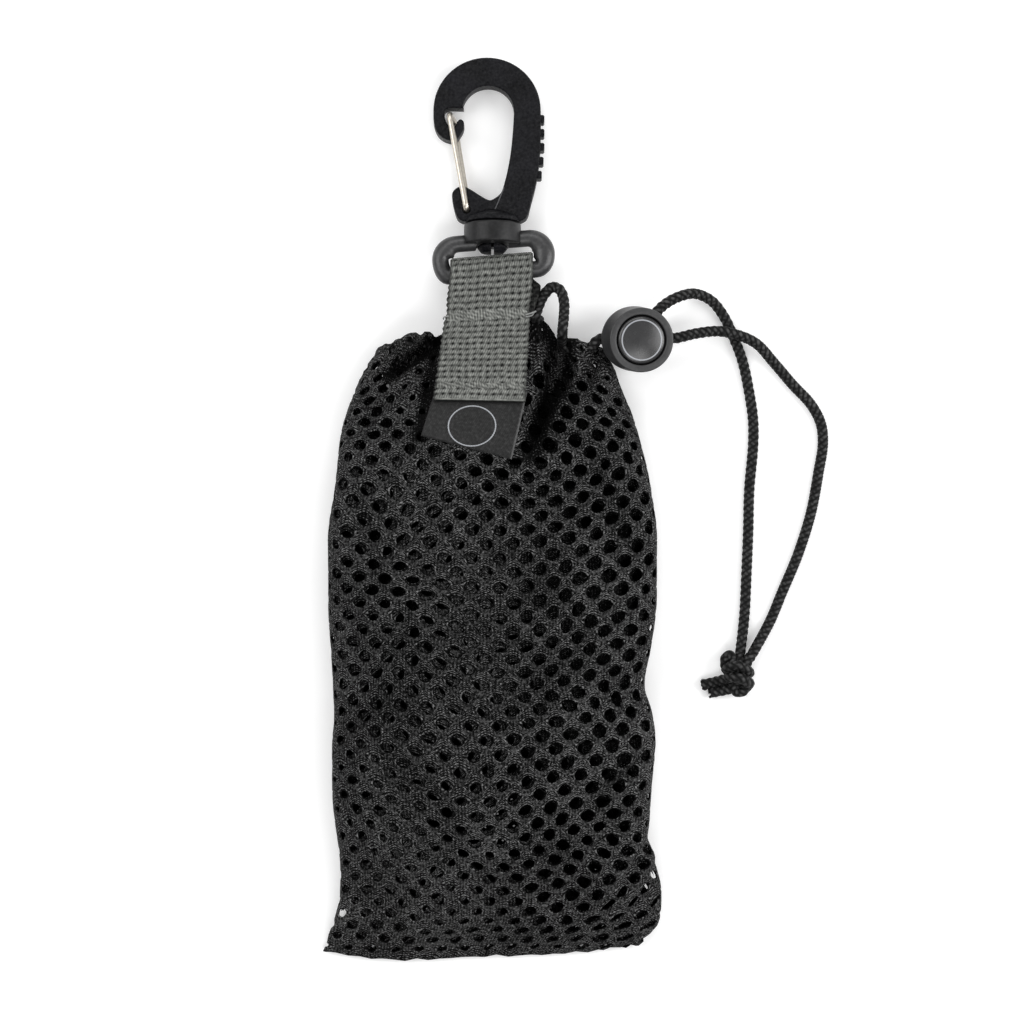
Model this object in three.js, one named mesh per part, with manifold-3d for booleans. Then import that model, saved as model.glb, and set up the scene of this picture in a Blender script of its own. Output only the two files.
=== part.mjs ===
// Small drawstring mesh pouch for diving gear, lying on its back on a flat
// surface: gathered mesh bag, webbing strap, swivel ring, snap hook with a wire
// gate, and a drawcord with a cord lock and a knot.
// Millimetres, +Z up. +Y runs from the bottom seam to the hook, +X to the side
// on which the cord lies. The origin is under the middle of the bag and hook.
import * as THREE from 'three';
import { mergeVertices } from 'three/addons/utils/BufferGeometryUtils.js';
import Module from 'manifold-3d';

const wasm = await Module();
wasm.setup();

// ---------------------------------------------------------------- sizes
const GAP = 0.35;               // clearance between neighbouring pieces
const DEG = Math.PI / 180;

// bag
const WALL = 1.3;               // mesh cloth wall
const ROUND = 2.6;              // roundness of a section (2 is an ellipse)
const WIDEST = 0.42;            // height share at which a section is widest
const BELLY = 1.35;             // how hard the underside presses on the surface
const AROUND = 52;              // points round a section
const HEM_R = 2.85;             // outer radius of the turned-in hem
const HEM_WALL = 1.0;           // cloth in the hem
const HEM_FLAP = 7.5;           // length of the turned-in flap
const CORD_R = 1.4;             // drawcord radius
const CORD_CLEAR = 1.72;        // radius of the ways that the cord passes

// one row for each section, mouth to bottom seam:
// y along the bag, left and right edge, height, drop of each end towards the seam
const SECTIONS = [
  { y: 46.6, left: -33.0, right: 32.0, height: 17.0, dropL: 3.4, dropR: 3.9 },
  { y: 42.5, left: -35.8, right: 34.2, height: 17.2, dropL: 3.4, dropR: 3.4 },
  { y: 36.3, left: -38.6, right: 36.2, height: 18.2, dropL: 2.8, dropR: 2.8 },
  { y: 28.4, left: -41.4, right: 39.4, height: 20.4, dropL: 2.0, dropR: 2.0 },
  { y: 17.7, left: -43.0, right: 42.6, height: 23.0, dropL: 1.1, dropR: 1.1 },
  { y: 5.3, left: -44.7, right: 44.9, height: 25.0, dropL: 0, dropR: 0 },
  { y: -8.8, left: -46.5, right: 46.5, height: 26.2, dropL: 0, dropR: 0 },
  { y: -25.7, left: -46.3, right: 46.3, height: 26.6, dropL: 0, dropR: 0 },
  { y: -39.8, left: -45.5, right: 44.6, height: 26.4, dropL: 0, dropR: 0 },
  { y: -49.6, left: -45.1, right: 43.0, height: 26.0, dropL: 0, dropR: 0 },
  { y: -58.1, left: -44.9, right: 44.9, height: 25.8, dropL: 0, dropR: 0 },
  { y: -66.5, left: -45.5, right: 45.8, height: 25.4, dropL: 0, dropR: 0 },
  { y: -79.2, left: -44.9, right: 45.2, height: 24.0, dropL: 0, dropR: 0 },
  { y: -91.9, left: -43.9, right: 44.1, height: 21.4, dropL: 0, dropR: 0 },
  { y: -101.2, left: -43.4, right: 46.6, height: 18.4, dropL: 0, dropR: 0 },
  { y: -108.8, left: -43.5, right: 47.5, height: 15.0, dropL: 0, dropR: 0 },
  { y: -115.8, left: -44.9, right: 47.2, height: 11.0, dropL: 0, dropR: 0 },
  { y: -121.8, left: -46.9, right: 43.0, height: 6.6, dropL: 0, dropR: 0.8 },
  { y: -126.6, left: -47.5, right: 39.9, height: 2.9, dropL: -2.8, dropR: -3.6 },
];
const SEAM_ROWS = 2;            // lowest sections that are sewn shut

// main dents of the front: a groove from one point to another
const FOLDS = [
  { x0: -15.0, y0: 44.5, x1: -32.0, y1: 37.0, depth: 2.6, width: 3.4 },
  { x0: 18.5, y0: 45.0, x1: 11.5, y1: 19.0, depth: 3.2, width: 3.6 },
  { x0: 27.0, y0: 38.0, x1: 21.0, y1: 20.0, depth: 1.6, width: 4.5 },
  { x0: -30.0, y0: 22.0, x1: -18.0, y1: -2.0, depth: 1.4, width: 7.0 },
  { x0: 40.0, y0: -49.0, x1: 22.0, y1: -58.0, depth: 1.8, width: 6.0 },
  { x0: -40.0, y0: -57.0, x1: -22.0, y1: -48.0, depth: 1.3, width: 6.0 },
  { x0: 38.0, y0: -90.0, x1: 20.0, y1: -112.0, depth: 2.0, width: 5.5 },
  { x0: -38.0, y0: -108.0, x1: -16.0, y1: -96.0, depth: 1.2, width: 6.0 },
];
const FRONT_FROM = 6.5;         // folds act above this height ...
const FRONT_FULL = 10.5;        // ... and fully above this one

// layer behind the front mesh
const PANEL_WALL = 1.0;
const PANEL_TOP = 34, PANEL_BOTTOM = -109;   // its ends along Y
const PANEL_SHARE = 0.88;       // of the bag's half width
const PANEL_NEAR = 1.6, PANEL_FAR = 4.6;     // depth below the front cloth, left and right

// snap hook, ring and collar, in the plane of the hook: x across, y along the swivel axis
const TILT = 6.2 * DEG;         // the hook's far end leans down to the surface
const SWIVEL = { x: 0, y: 77.4, z: 8.75 };
const HOOK_HALF = 3.15;         // half thickness of the hook
const HOOK_BEVEL = 0.6;
const CROWN = { x: -1.55, y: 34.79, r: 15.07 };   // outer arc
const EYE = { x: -1.27, y: 34.37, r: 7.04 };      // inner arc
const HOOK_SPINE = [            // outer edge, base to crown
  { x: 7.9, y: 3.3 }, { x: 9.6, y: 4.4 }, { x: 10.9, y: 8.7 }, { x: 12.5, y: 15.2 }, { x: 13.5, y: 23.7 },
];
const HOOK_NOSE = [             // crown to the upturned tip, round the notch, to the eye
  { x: -16.5, y: 31.0 }, { x: -15.3, y: 28.2 }, { x: -13.1, y: 26.6 }, { x: -10.6, y: 26.3 },
  { x: -8.9, y: 28.2 }, { x: -8.0, y: 30.4 }, { x: -8.3, y: 32.0 }, { x: -9.1, y: 32.4 },
  { x: -9.9, y: 31.8 }, { x: -10.5, y: 30.6 }, { x: -11.4, y: 29.9 }, { x: -12.7, y: 31.0 },
  { x: -13.5, y: 33.2 }, { x: -13.4, y: 35.0 }, { x: -12.3, y: 35.6 }, { x: -8.1, y: 35.6 },
];
const HOOK_INSIDE = [           // eye to the foot of the gate, round the base
  { x: 5.7, y: 28.7 }, { x: 4.9, y: 21.4 }, { x: 3.5, y: 14.7 }, { x: 2.3, y: 11.3 }, { x: 0.4, y: 9.7 },
  { x: -0.9, y: 9.3 }, { x: -6.3, y: 12.4 }, { x: -8.0, y: 13.2 }, { x: -9.7, y: 13.0 }, { x: -11.1, y: 11.8 },
  { x: -11.4, y: 10.4 }, { x: -10.6, y: 6.2 }, { x: -9.7, y: 4.1 }, { x: -8.4, y: 3.3 },
];
const RIBS = { count: 5, first: 32.6, pitch: -4.0, high: 2.3, proud: 1.25, half: 2.5 };
// the gate's legs lie on both faces of the hook; the back leg stands a little further in at the top
const GATE = { topX: -12.25, topY: 33.7, backX: -11.05, backY: 33.45, footX: -7.3, footY: 6.5, legZ: 4.25, r: 0.8, pinIn: 1.0, holeR: 1.15 };
const COLLAR = { r: 8.05, y0: -3.0, y1: 2.9, bore: 3.5, counter: 4.9, edge: 0.7 };
const FLANGE = { r: 7.95, y0: 3.25, y1: 4.5, coneTop: 6.6, coneR: 3.2 };
const STEM = { r: 3.1, barbR: 4.3, barbY: -3.4, tipY: -5.4, tipR: 3.2, split: 1.2 };
const RING = { x: 0.28, y: -6.48, yaw: 4.7 * DEG, straight: 21.0, endR: 4.5, cornerR: 2.0, bar: 2.2 };

// webbing
const WEB = 1.5;                // thickness
const WEB_LOOSE = 0.8;          // play of the fold round the ring's bar
const WEB_END = { y: 30.2, x: -3.66, half: 12.8, skew: -0.02 };
const WEB_FOLD = { x: -0.3, half: 11.6, skew: Math.tan(RING.yaw) };
const WEB_STITCH_Y = 54.3;      // where the two legs are sewn together
const WEB_BACK_END = 52.6;      // end of the back leg
const WEB_BACK_SHIFT = 2.2;     // the back leg stands out on the right

// label, askew under the end of the strap: its corners, lower left first, then lower right and the upper pair
const LABEL = { lowL: [-19.94, 20.3], lowR: [5.41, 13.73], topL: [-15.9, 33.4], topR: [9.9, 33.0], thick: 1.0 };

// cord lock: base point, lean of its axis, and its turned profile
const LOCK = {
  x: 39.6, y: 48.4, z: 1.0, leanX: 2.2, leanY: -1.1, leanZ: 15,
  baseR: 5.6, footR: 7.2, rimR: 9.1, lipR: 8.5, top: 15.6, recessR: 7.05, recess: 10.7, bore: 5.6, floor: 1.4,
  cordAt: 8.0, cordTurn: 12 * DEG, cordOff: 1.75, travel: 2.5,
};
const BUTTON = { r: 6.65, under: 13.4, edge: 15.3, crown: 16.2, stemR: 5.2, stemFoot: 4.4, slotW: 7.4 };

// drawcord: points of the loop pulled out beside the strap, and of the two free ends
const LOOP = [
  { x: 20.2, y: 49.4, z: 15.0 }, { x: 20.7, y: 53.4, z: 14.4 }, { x: 20.8, y: 58.4, z: 13.0 }, { x: 19.4, y: 61.9, z: 11.8 },
  { x: 17.1, y: 62.9, z: 11.0 }, { x: 15.1, y: 60.6, z: 10.5 }, { x: 13.8, y: 57.4, z: 10.7 }, { x: 13.2, y: 53.6, z: 11.7 },
];
const UPPER = [
  { x: 49.1, y: 56.3, z: 7.4 }, { x: 52.4, y: 59.4, z: 6.0 }, { x: 57.5, y: 60.5, z: 3.9 },
  { x: 62.1, y: 58.8, z: 2.2 }, { x: 65.8, y: 54.2, z: 1.5 }, { x: 68.0, y: 49.5, z: 1.45 }, { x: 70.8, y: 42.2, z: 1.45 },
  { x: 72.8, y: 32.9, z: 1.45 }, { x: 73.9, y: 25.0, z: 1.45 }, { x: 73.9, y: 18.0, z: 1.45 }, { x: 72.8, y: 5.3, z: 1.45 },
  { x: 72.5, y: -6.5, z: 1.45 }, { x: 72.0, y: -18.7, z: 1.45 }, { x: 71.4, y: -30.5, z: 1.6 }, { x: 70.1, y: -41.3, z: 3.2 },
];
const LOWER = [
  { x: 52.0, y: 48.2, z: 8.0 }, { x: 57.5, y: 49.5, z: 6.7 }, { x: 63.8, y: 50.2, z: 5.3 }, { x: 69.3, y: 49.2, z: 4.65 },
  { x: 74.8, y: 46.7, z: 3.3 }, { x: 79.6, y: 41.6, z: 1.9 }, { x: 85.2, y: 35.1, z: 1.45 }, { x: 90.3, y: 29.6, z: 1.45 },
  { x: 93.1, y: 24.2, z: 1.45 }, { x: 93.7, y: 18.5, z: 1.45 }, { x: 92.5, y: 10.6, z: 1.45 }, { x: 90.3, y: -1.2, z: 1.45 },
  { x: 86.6, y: -13.0, z: 1.45 }, { x: 82.0, y: -24.0, z: 1.45 }, { x: 78.7, y: -31.9, z: 1.6 }, { x: 73.6, y: -41.0, z: 4.0 },
];
const KNOT = { x: 69.6, y: -46.9, z: 4.6, rx: 4.6, ry: 5.2, rz: 4.5 };
const TAILS = [
  { x0: 68.5, y0: -46.5, z0: 4.0, x1: 59.2, y1: -49.0, z1: 1.5 },
  { x0: 69.5, y0: -48.5, z0: 3.6, x1: 62.2, y1: -53.2, z1: 1.5 },
];
const EAR = { x: 66.9, y: -42.2, z: 4.4, r: 1.9 };

// ---------------------------------------------------------------- helpers
const V = (x, y, z) => new THREE.Vector3(x, y, z);
const smooth = (a, b, t) => { const k = Math.min(1, Math.max(0, (t - a) / (b - a))); return k * k * (3 - 2 * k); };
const lerp = (a, b, t) => a + (b - a) * t;

function toSolid(geometry) {
  const bare = geometry.clone();
  for (const name of Object.keys(bare.attributes)) if (name !== 'position') bare.deleteAttribute(name);
  const merged = outward(mergeVertices(bare, 1e-4));
  return new wasm.Manifold(new wasm.Mesh({
    numProp: 3,
    vertProperties: Float32Array.from(merged.attributes.position.array),
    triVerts: Uint32Array.from(merged.index.array),
  }));
}

function toGeometry(solid) {
  const mesh = solid.getMesh();
  const geometry = new THREE.BufferGeometry();
  geometry.setAttribute('position', new THREE.BufferAttribute(Float32Array.from(mesh.vertProperties), 3));
  geometry.setIndex(new THREE.BufferAttribute(Uint32Array.from(mesh.triVerts), 1));
  geometry.computeVertexNormals();
  return geometry;
}

// closed skin through rings of equal point count; both ends are capped
function skin(rings, closedLoop = false) {
  const count = rings[0].length;
  const position = [];
  const index = [];
  for (const ring of rings) for (const p of ring) position.push(p.x, p.y, p.z);
  const at = (r, i) => (r % rings.length) * count + ((i + count) % count);
  const last = closedLoop ? rings.length : rings.length - 1;
  for (let r = 0; r < last; r++) {
    for (let i = 0; i < count; i++) {
      index.push(at(r, i), at(r, i + 1), at(r + 1, i + 1), at(r, i), at(r + 1, i + 1), at(r + 1, i));
    }
  }
  const cap = (r, flip) => {
    const put = (a, b, c) => (flip ? index.push(at(r, a), at(r, c), at(r, b)) : index.push(at(r, a), at(r, b), at(r, c)));
    const half = Math.floor(count / 2);
    put(0, count - 1, 1);
    for (let i = 1; i < half - 1; i++) { put(i, count - i, count - i - 1); put(i, count - i - 1, i + 1); }
    put(half - 1, half + 1, half);
  };
  if (!closedLoop) { cap(0, false); cap(rings.length - 1, true); }
  const geometry = new THREE.BufferGeometry();
  geometry.setAttribute('position', new THREE.Float32BufferAttribute(position, 3));
  geometry.setIndex(index);
  geometry.computeVertexNormals();
  return geometry;
}

function volume(geometry) {
  const p = geometry.attributes.position, ix = geometry.index.array;
  let total = 0;
  const a = V(), b = V(), c = V();
  for (let i = 0; i < ix.length; i += 3) {
    a.fromBufferAttribute(p, ix[i]); b.fromBufferAttribute(p, ix[i + 1]); c.fromBufferAttribute(p, ix[i + 2]);
    total += a.dot(b.cross(c)) / 6;
  }
  return total;
}

function outward(geometry) {
  if (volume(geometry) < 0) {
    const ix = geometry.index.array;
    for (let i = 0; i < ix.length; i += 3) { const t = ix[i + 1]; ix[i + 1] = ix[i + 2]; ix[i + 2] = t; }
    geometry.computeVertexNormals();
  }
  return geometry;
}

// round tube along a smooth curve through the points
function tube(points, radius, steps, sides = 8) {
  const curve = new THREE.CatmullRomCurve3(points.map((p) => V(p.x, p.y, p.z)), false, 'centripetal');
  const shape = new THREE.Shape();
  for (let i = 0; i <= sides; i++) {
    const a = ((i + 0.5) / sides) * 2 * Math.PI;
    if (i === 0) shape.moveTo(radius * Math.cos(a), radius * Math.sin(a));
    else if (i < sides) shape.lineTo(radius * Math.cos(a), radius * Math.sin(a));
  }
  return new THREE.ExtrudeGeometry(shape, { steps, bevelEnabled: false, extrudePath: curve, curveSegments: 1 });
}

function rod(from, to, radius, sides = 8) {
  const dir = to.clone().sub(from);
  const g = new THREE.CylinderGeometry(radius, radius, dir.length(), sides, 1);
  g.applyQuaternion(new THREE.Quaternion().setFromUnitVectors(V(0, 1, 0), dir.clone().normalize()));
  const mid = from.clone().add(to).multiplyScalar(0.5);
  return g.translate(mid.x, mid.y, mid.z);
}

const ball = (p, radius, w = 8, h = 6) => new THREE.SphereGeometry(radius, w, h).translate(p.x, p.y, p.z);

function turned(profile, segments = 24) {
  return new THREE.LatheGeometry(profile.map(([r, y]) => new THREE.Vector2(r, y)), segments);
}

// ---------------------------------------------------------------- bag
function fold(p) {
  const weight = smooth(FRONT_FROM, FRONT_FULL, p.z);
  let drop = 0;
  for (const f of FOLDS) {
    const dx = f.x1 - f.x0, dy = f.y1 - f.y0;
    const t = Math.min(1, Math.max(0, ((p.x - f.x0) * dx + (p.y - f.y0) * dy) / (dx * dx + dy * dy)));
    const d = Math.hypot(p.x - f.x0 - t * dx, p.y - f.y0 - t * dy) / f.width;
    drop += f.depth * Math.exp(-d * d) * smooth(-0.2, 0.35, 1 - t);
  }
  return V(p.x, p.y, p.z - weight * drop);
}

function sectionPoint(row, angle, inset) {
  const a = (row.right - row.left) / 2 - inset, xc = (row.right + row.left) / 2;
  const c = Math.cos(angle), s = Math.sin(angle), k = 2 / ROUND;
  const share = Math.sign(c) * Math.pow(Math.abs(c), k);
  const zc = inset + WIDEST * (row.height - 2 * inset), rise = Math.pow(Math.abs(s), k);
  const z = s >= 0 ? zc + (row.height - inset - zc) * rise : Math.max(inset, zc - (zc - inset) * BELLY * rise);
  const drop = (share < 0 ? row.dropL : row.dropR) * Math.pow(Math.abs(share), 3);
  return V(xc + a * share, row.y - drop, z);
}

const angles = Array.from({ length: AROUND }, (_, i) => (i / AROUND) * 2 * Math.PI);
const rim = SECTIONS[0];

function rimNormal(angle) {
  const before = sectionPoint(rim, angle - 0.06, 0), after = sectionPoint(rim, angle + 0.06, 0);
  return V(after.z - before.z, 0, -(after.x - before.x)).normalize();
}

// point of the hem: depth inwards from the cloth, and height above the rim row
function hemPoint(angle, inwards, up) {
  const n = rimNormal(angle);
  const p = sectionPoint(rim, angle, 0);
  return fold(V(p.x - n.x * inwards, p.y + up, p.z - n.z * inwards));
}

function bagRings() {
  const rings = [];
  const outer = (row) => angles.map((a) => fold(sectionPoint(row, a, 0)));
  const inner = (row) => angles.map((a) => fold(sectionPoint(row, a, WALL)));
  for (let r = SECTIONS.length - 1; r >= 0; r--) rings.push(outer(SECTIONS[r]));
  const turn = [30, 65, 100, 140];
  for (const t of turn) rings.push(angles.map((a) => hemPoint(a, HEM_R - HEM_R * Math.cos(t * DEG), HEM_R * Math.sin(t * DEG))));
  rings.push(angles.map((a) => hemPoint(a, 2 * HEM_R, 0)));
  rings.push(angles.map((a) => hemPoint(a, 2 * HEM_R, -HEM_FLAP)));
  rings.push(angles.map((a) => hemPoint(a, 2 * HEM_R - HEM_WALL, -HEM_FLAP)));
  const small = HEM_R - HEM_WALL;
  for (const t of [180, 135, 90, 45]) {
    rings.push(angles.map((a) => hemPoint(a, HEM_R - small * Math.cos(t * DEG), small * Math.sin(t * DEG))));
  }
  rings.push(angles.map((a) => hemPoint(a, HEM_WALL, 0)));
  for (let r = 1; r < SECTIONS.length - SEAM_ROWS; r++) rings.push(inner(SECTIONS[r]));
  return rings;
}

// height of the front cloth over a point
function frontHeight(x, y) {
  let r = 0;
  while (r < SECTIONS.length - 2 && SECTIONS[r + 1].y > y) r++;
  const A = SECTIONS[r], B = SECTIONS[r + 1], t = Math.min(1, Math.max(0, (A.y - y) / (A.y - B.y)));
  const left = lerp(A.left, B.left, t), right = lerp(A.right, B.right, t), height = lerp(A.height, B.height, t);
  const share = Math.min(1, Math.abs((x - (left + right) / 2) / ((right - left) / 2)));
  const zc = WIDEST * height;
  return fold(V(x, y, zc + (height - zc) * Math.pow(1 - Math.pow(share, ROUND), 1 / ROUND))).z;
}

// ---------------------------------------------------------------- frames
const hookFrame = new THREE.Group();
hookFrame.position.set(SWIVEL.x, SWIVEL.y, SWIVEL.z);
hookFrame.rotation.x = -TILT;
hookFrame.updateMatrixWorld(true);
const fromHook = (x, y, z) => V(x, y, z).applyMatrix4(hookFrame.matrixWorld);

const lockFrame = new THREE.Group();
lockFrame.position.set(LOCK.x, LOCK.y, LOCK.z);
lockFrame.quaternion.setFromUnitVectors(V(0, 0, 1), V(LOCK.leanX, LOCK.leanY, LOCK.leanZ).normalize());
lockFrame.updateMatrixWorld(true);
const fromLock = (x, y, z) => V(x, y, z).applyMatrix4(lockFrame.matrixWorld);
const lockInverse = lockFrame.matrixWorld.clone().invert();

// ---------------------------------------------------------------- drawcord routes
const along = V(Math.cos(LOCK.cordTurn), Math.sin(LOCK.cordTurn), 0);
const beside = V(-Math.sin(LOCK.cordTurn), Math.cos(LOCK.cordTurn), 0);
const inLock = (s, off) => fromLock(along.x * s + beside.x * off, along.y * s + beside.y * off, LOCK.cordAt);
const EXIT = 0.62;              // angle from the mouth's right end at which the cords leave the hem

const upperRoute = [
  hemPoint(EXIT, HEM_R, 0).add(V(0.6, 0, -0.2)),
  inLock(-10.2, LOCK.cordOff).add(V(-0.6, 0.2, 1.4)), inLock(-7.5, LOCK.cordOff), inLock(-2, LOCK.cordOff), inLock(3.6, LOCK.cordOff),
  fromLock(6.0, 4.2, LOCK.cordAt - 0.1), ...UPPER,
];
const lowerRoute = [
  hemPoint(-EXIT, HEM_R, 0).add(V(0.6, 0, 0.4)),
  inLock(-9.6, -LOCK.cordOff).add(V(-0.4, -0.2, -1.6)), inLock(-7.2, -LOCK.cordOff), inLock(-2, -LOCK.cordOff), inLock(5, -LOCK.cordOff),
  inLock(9, -LOCK.cordOff + 0.1), ...LOWER,
];

// run in the hem: from the front exit to the loop, behind the strap, round the left end and back
function casingRoute() {
  const run = [];
  const at = (a) => hemPoint(a, HEM_R, 0);
  for (const a of [EXIT + 0.1, 0.86, 0.99]) run.push(at(a));
  for (const p of LOOP) run.push(V(p.x, p.y, p.z));
  const first = 1.24, lastAngle = 2 * Math.PI - EXIT - 0.1, count = 30;
  for (let i = 0; i <= count; i++) run.push(at(lerp(first, lastAngle, i / count)));
  return run;
}
const casing = casingRoute();
const CASING_STEPS = 38, STRAND_STEPS = 22;

// ---------------------------------------------------------------- solids
const bagLoft = toSolid(outward(skin(bagRings())));
const wayOf = (points, steps, radius = CORD_CLEAR) => toSolid(tube(points, radius, steps));
const upperWay = wayOf(upperRoute, STRAND_STEPS), lowerWay = wayOf(lowerRoute, STRAND_STEPS);
const bagSolid = bagLoft.subtract(upperWay).subtract(lowerWay).subtract(wayOf(casing, CASING_STEPS, CORD_R + 0.15));

// layer behind the front mesh: upper and lower face over a grid
function sheetSolid(columns, rows, place) {
  const rings = [];
  for (let j = 0; j <= rows; j++) {
    const ring = [];
    for (let i = 0; i <= columns; i++) ring.push(place(i / columns, j / rows, 1));
    for (let i = columns; i >= 0; i--) ring.push(place(i / columns, j / rows, 0));
    rings.push(ring);
  }
  return rings;
}

// cap for sheet rings pairs the upper and lower face points
function sheetSkin(rings) {
  const count = rings[0].length, half = count / 2;
  const position = [], index = [];
  for (const ring of rings) for (const p of ring) position.push(p.x, p.y, p.z);
  const at = (r, i) => r * count + ((i + count) % count);
  for (let r = 0; r < rings.length - 1; r++) {
    for (let i = 0; i < count; i++) index.push(at(r, i), at(r, i + 1), at(r + 1, i + 1), at(r, i), at(r + 1, i + 1), at(r + 1, i));
  }
  for (let i = 0; i < half - 1; i++) {
    const a = i, b = i + 1, c = count - 2 - i, d = count - 1 - i;
    index.push(at(0, a), at(0, c), at(0, b), at(0, a), at(0, d), at(0, c));
    const e = rings.length - 1;
    index.push(at(e, a), at(e, b), at(e, c), at(e, a), at(e, c), at(e, d));
  }
  const geometry = new THREE.BufferGeometry();
  geometry.setAttribute('position', new THREE.Float32BufferAttribute(position, 3));
  geometry.setIndex(index);
  return outward(geometry);
}

function panelGeometry() {
  const place = (u, v, face) => {
    const y = lerp(PANEL_TOP, PANEL_BOTTOM, v);
    let r = 0;
    while (r < SECTIONS.length - 2 && SECTIONS[r + 1].y > y) r++;
    const A = SECTIONS[r], B = SECTIONS[r + 1], t = (A.y - y) / (A.y - B.y);
    const left = lerp(A.left, B.left, t), right = lerp(A.right, B.right, t);
    const x = (left + right) / 2 + lerp(-1, 1, u) * PANEL_SHARE * (right - left) / 2;
    const depth = WALL + lerp(PANEL_NEAR, PANEL_FAR, smooth(0.35, 0.9, u));
    return V(x, y, frontHeight(x, y) - depth - (face ? 0 : PANEL_WALL));
  };
  return sheetSkin(sheetSolid(8, 11, place));
}

function labelGeometry() {
  const side = (k, u, v) => lerp(lerp(LABEL.lowL[k], LABEL.lowR[k], u), lerp(LABEL.topL[k], LABEL.topR[k], u), v);
  const place = (u, v, face) => {
    const x = side(0, u, 1 - v), y = side(1, u, 1 - v);
    return V(x, y, frontHeight(x, y) + 1.5 * GAP + (face ? LABEL.thick : 0));
  };
  return sheetSkin(sheetSolid(6, 5, place));
}

// webbing: one strip, from its lower end up the front, round the ring's bar and back down behind
function strapGeometry() {
  const bar = fromHook(RING.x + (RING.endR) * Math.sin(RING.yaw), RING.y - RING.endR * Math.cos(RING.yaw), 0);
  const radius = RING.bar + WEB_LOOSE + WEB / 2;
  const over = (y) => {
    let top = 0;
    for (let i = 0; i <= 8; i++) top = Math.max(top, frontHeight(lerp(-16.5, 10.5, i / 8), y));
    return top + 1.2 * GAP + (LABEL.thick + GAP) * smooth(46, 41, y) + WEB / 2;
  };
  const path = [];
  for (const y of [WEB_END.y, 34, 38, 41, 44]) path.push({ y, z: over(y), side: 0 });
  const hem = { y: rim.y, z: over(rim.y) };
  path.push({ ...hem, side: 0 });
  const tangent = (p, sign) => {
    const dy = p.y - bar.y, dz = p.z - bar.z;
    return Math.atan2(dz, dy) + sign * Math.acos(radius / Math.hypot(dy, dz));
  };
  const from = tangent(hem, -1);
  const slope = (hem.z - (bar.z + radius * Math.sin(from))) / (bar.y + radius * Math.cos(from) - hem.y);
  const underFront = (y) => hem.z - slope * (y - hem.y) - WEB - GAP;
  const stitch = { y: WEB_STITCH_Y + 0.6, z: underFront(WEB_STITCH_Y + 0.6) };
  path.push({ y: 52, z: hem.z - slope * (52 - hem.y), side: 0 }, { y: 58, z: hem.z - slope * (58 - hem.y), side: 0 });
  const to = tangent(stitch, 1) - 2 * Math.PI;
  for (let i = 0; i <= 10; i++) {
    const a = lerp(from, to, i / 10);
    path.push({ y: bar.y + radius * Math.cos(a), z: bar.z + radius * Math.sin(a), side: i / 10 });
  }
  path.push({ ...stitch, side: 1, shift: WEB_BACK_SHIFT }, { y: WEB_BACK_END, z: underFront(WEB_BACK_END), side: 1, shift: WEB_BACK_SHIFT });
  const rings = path.map((p, i) => {
    const q = path[Math.min(i + 1, path.length - 1)], o = path[Math.max(i - 1, 0)];
    const n = V(0, -(q.z - o.z), q.y - o.y).normalize();
    const t = p.side > 0 ? 1 : Math.min(1, (p.y - WEB_END.y) / (bar.y - WEB_END.y));
    const x = lerp(WEB_END.x, WEB_FOLD.x, t) + (p.shift ?? 0), pivot = lerp(WEB_END.x, bar.x, t);
    const half = lerp(WEB_END.half, WEB_FOLD.half, t);
    const skew = lerp(WEB_END.skew, WEB_FOLD.skew, t);
    const corner = (side, face) => V(x + side * half, p.y + (x + side * half - pivot) * skew + n.y * face * WEB / 2, p.z + n.z * face * WEB / 2);
    return [corner(-1, 1), corner(1, 1), corner(1, -1), corner(-1, -1)];
  });
  return sheetSkin(rings);
}

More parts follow.
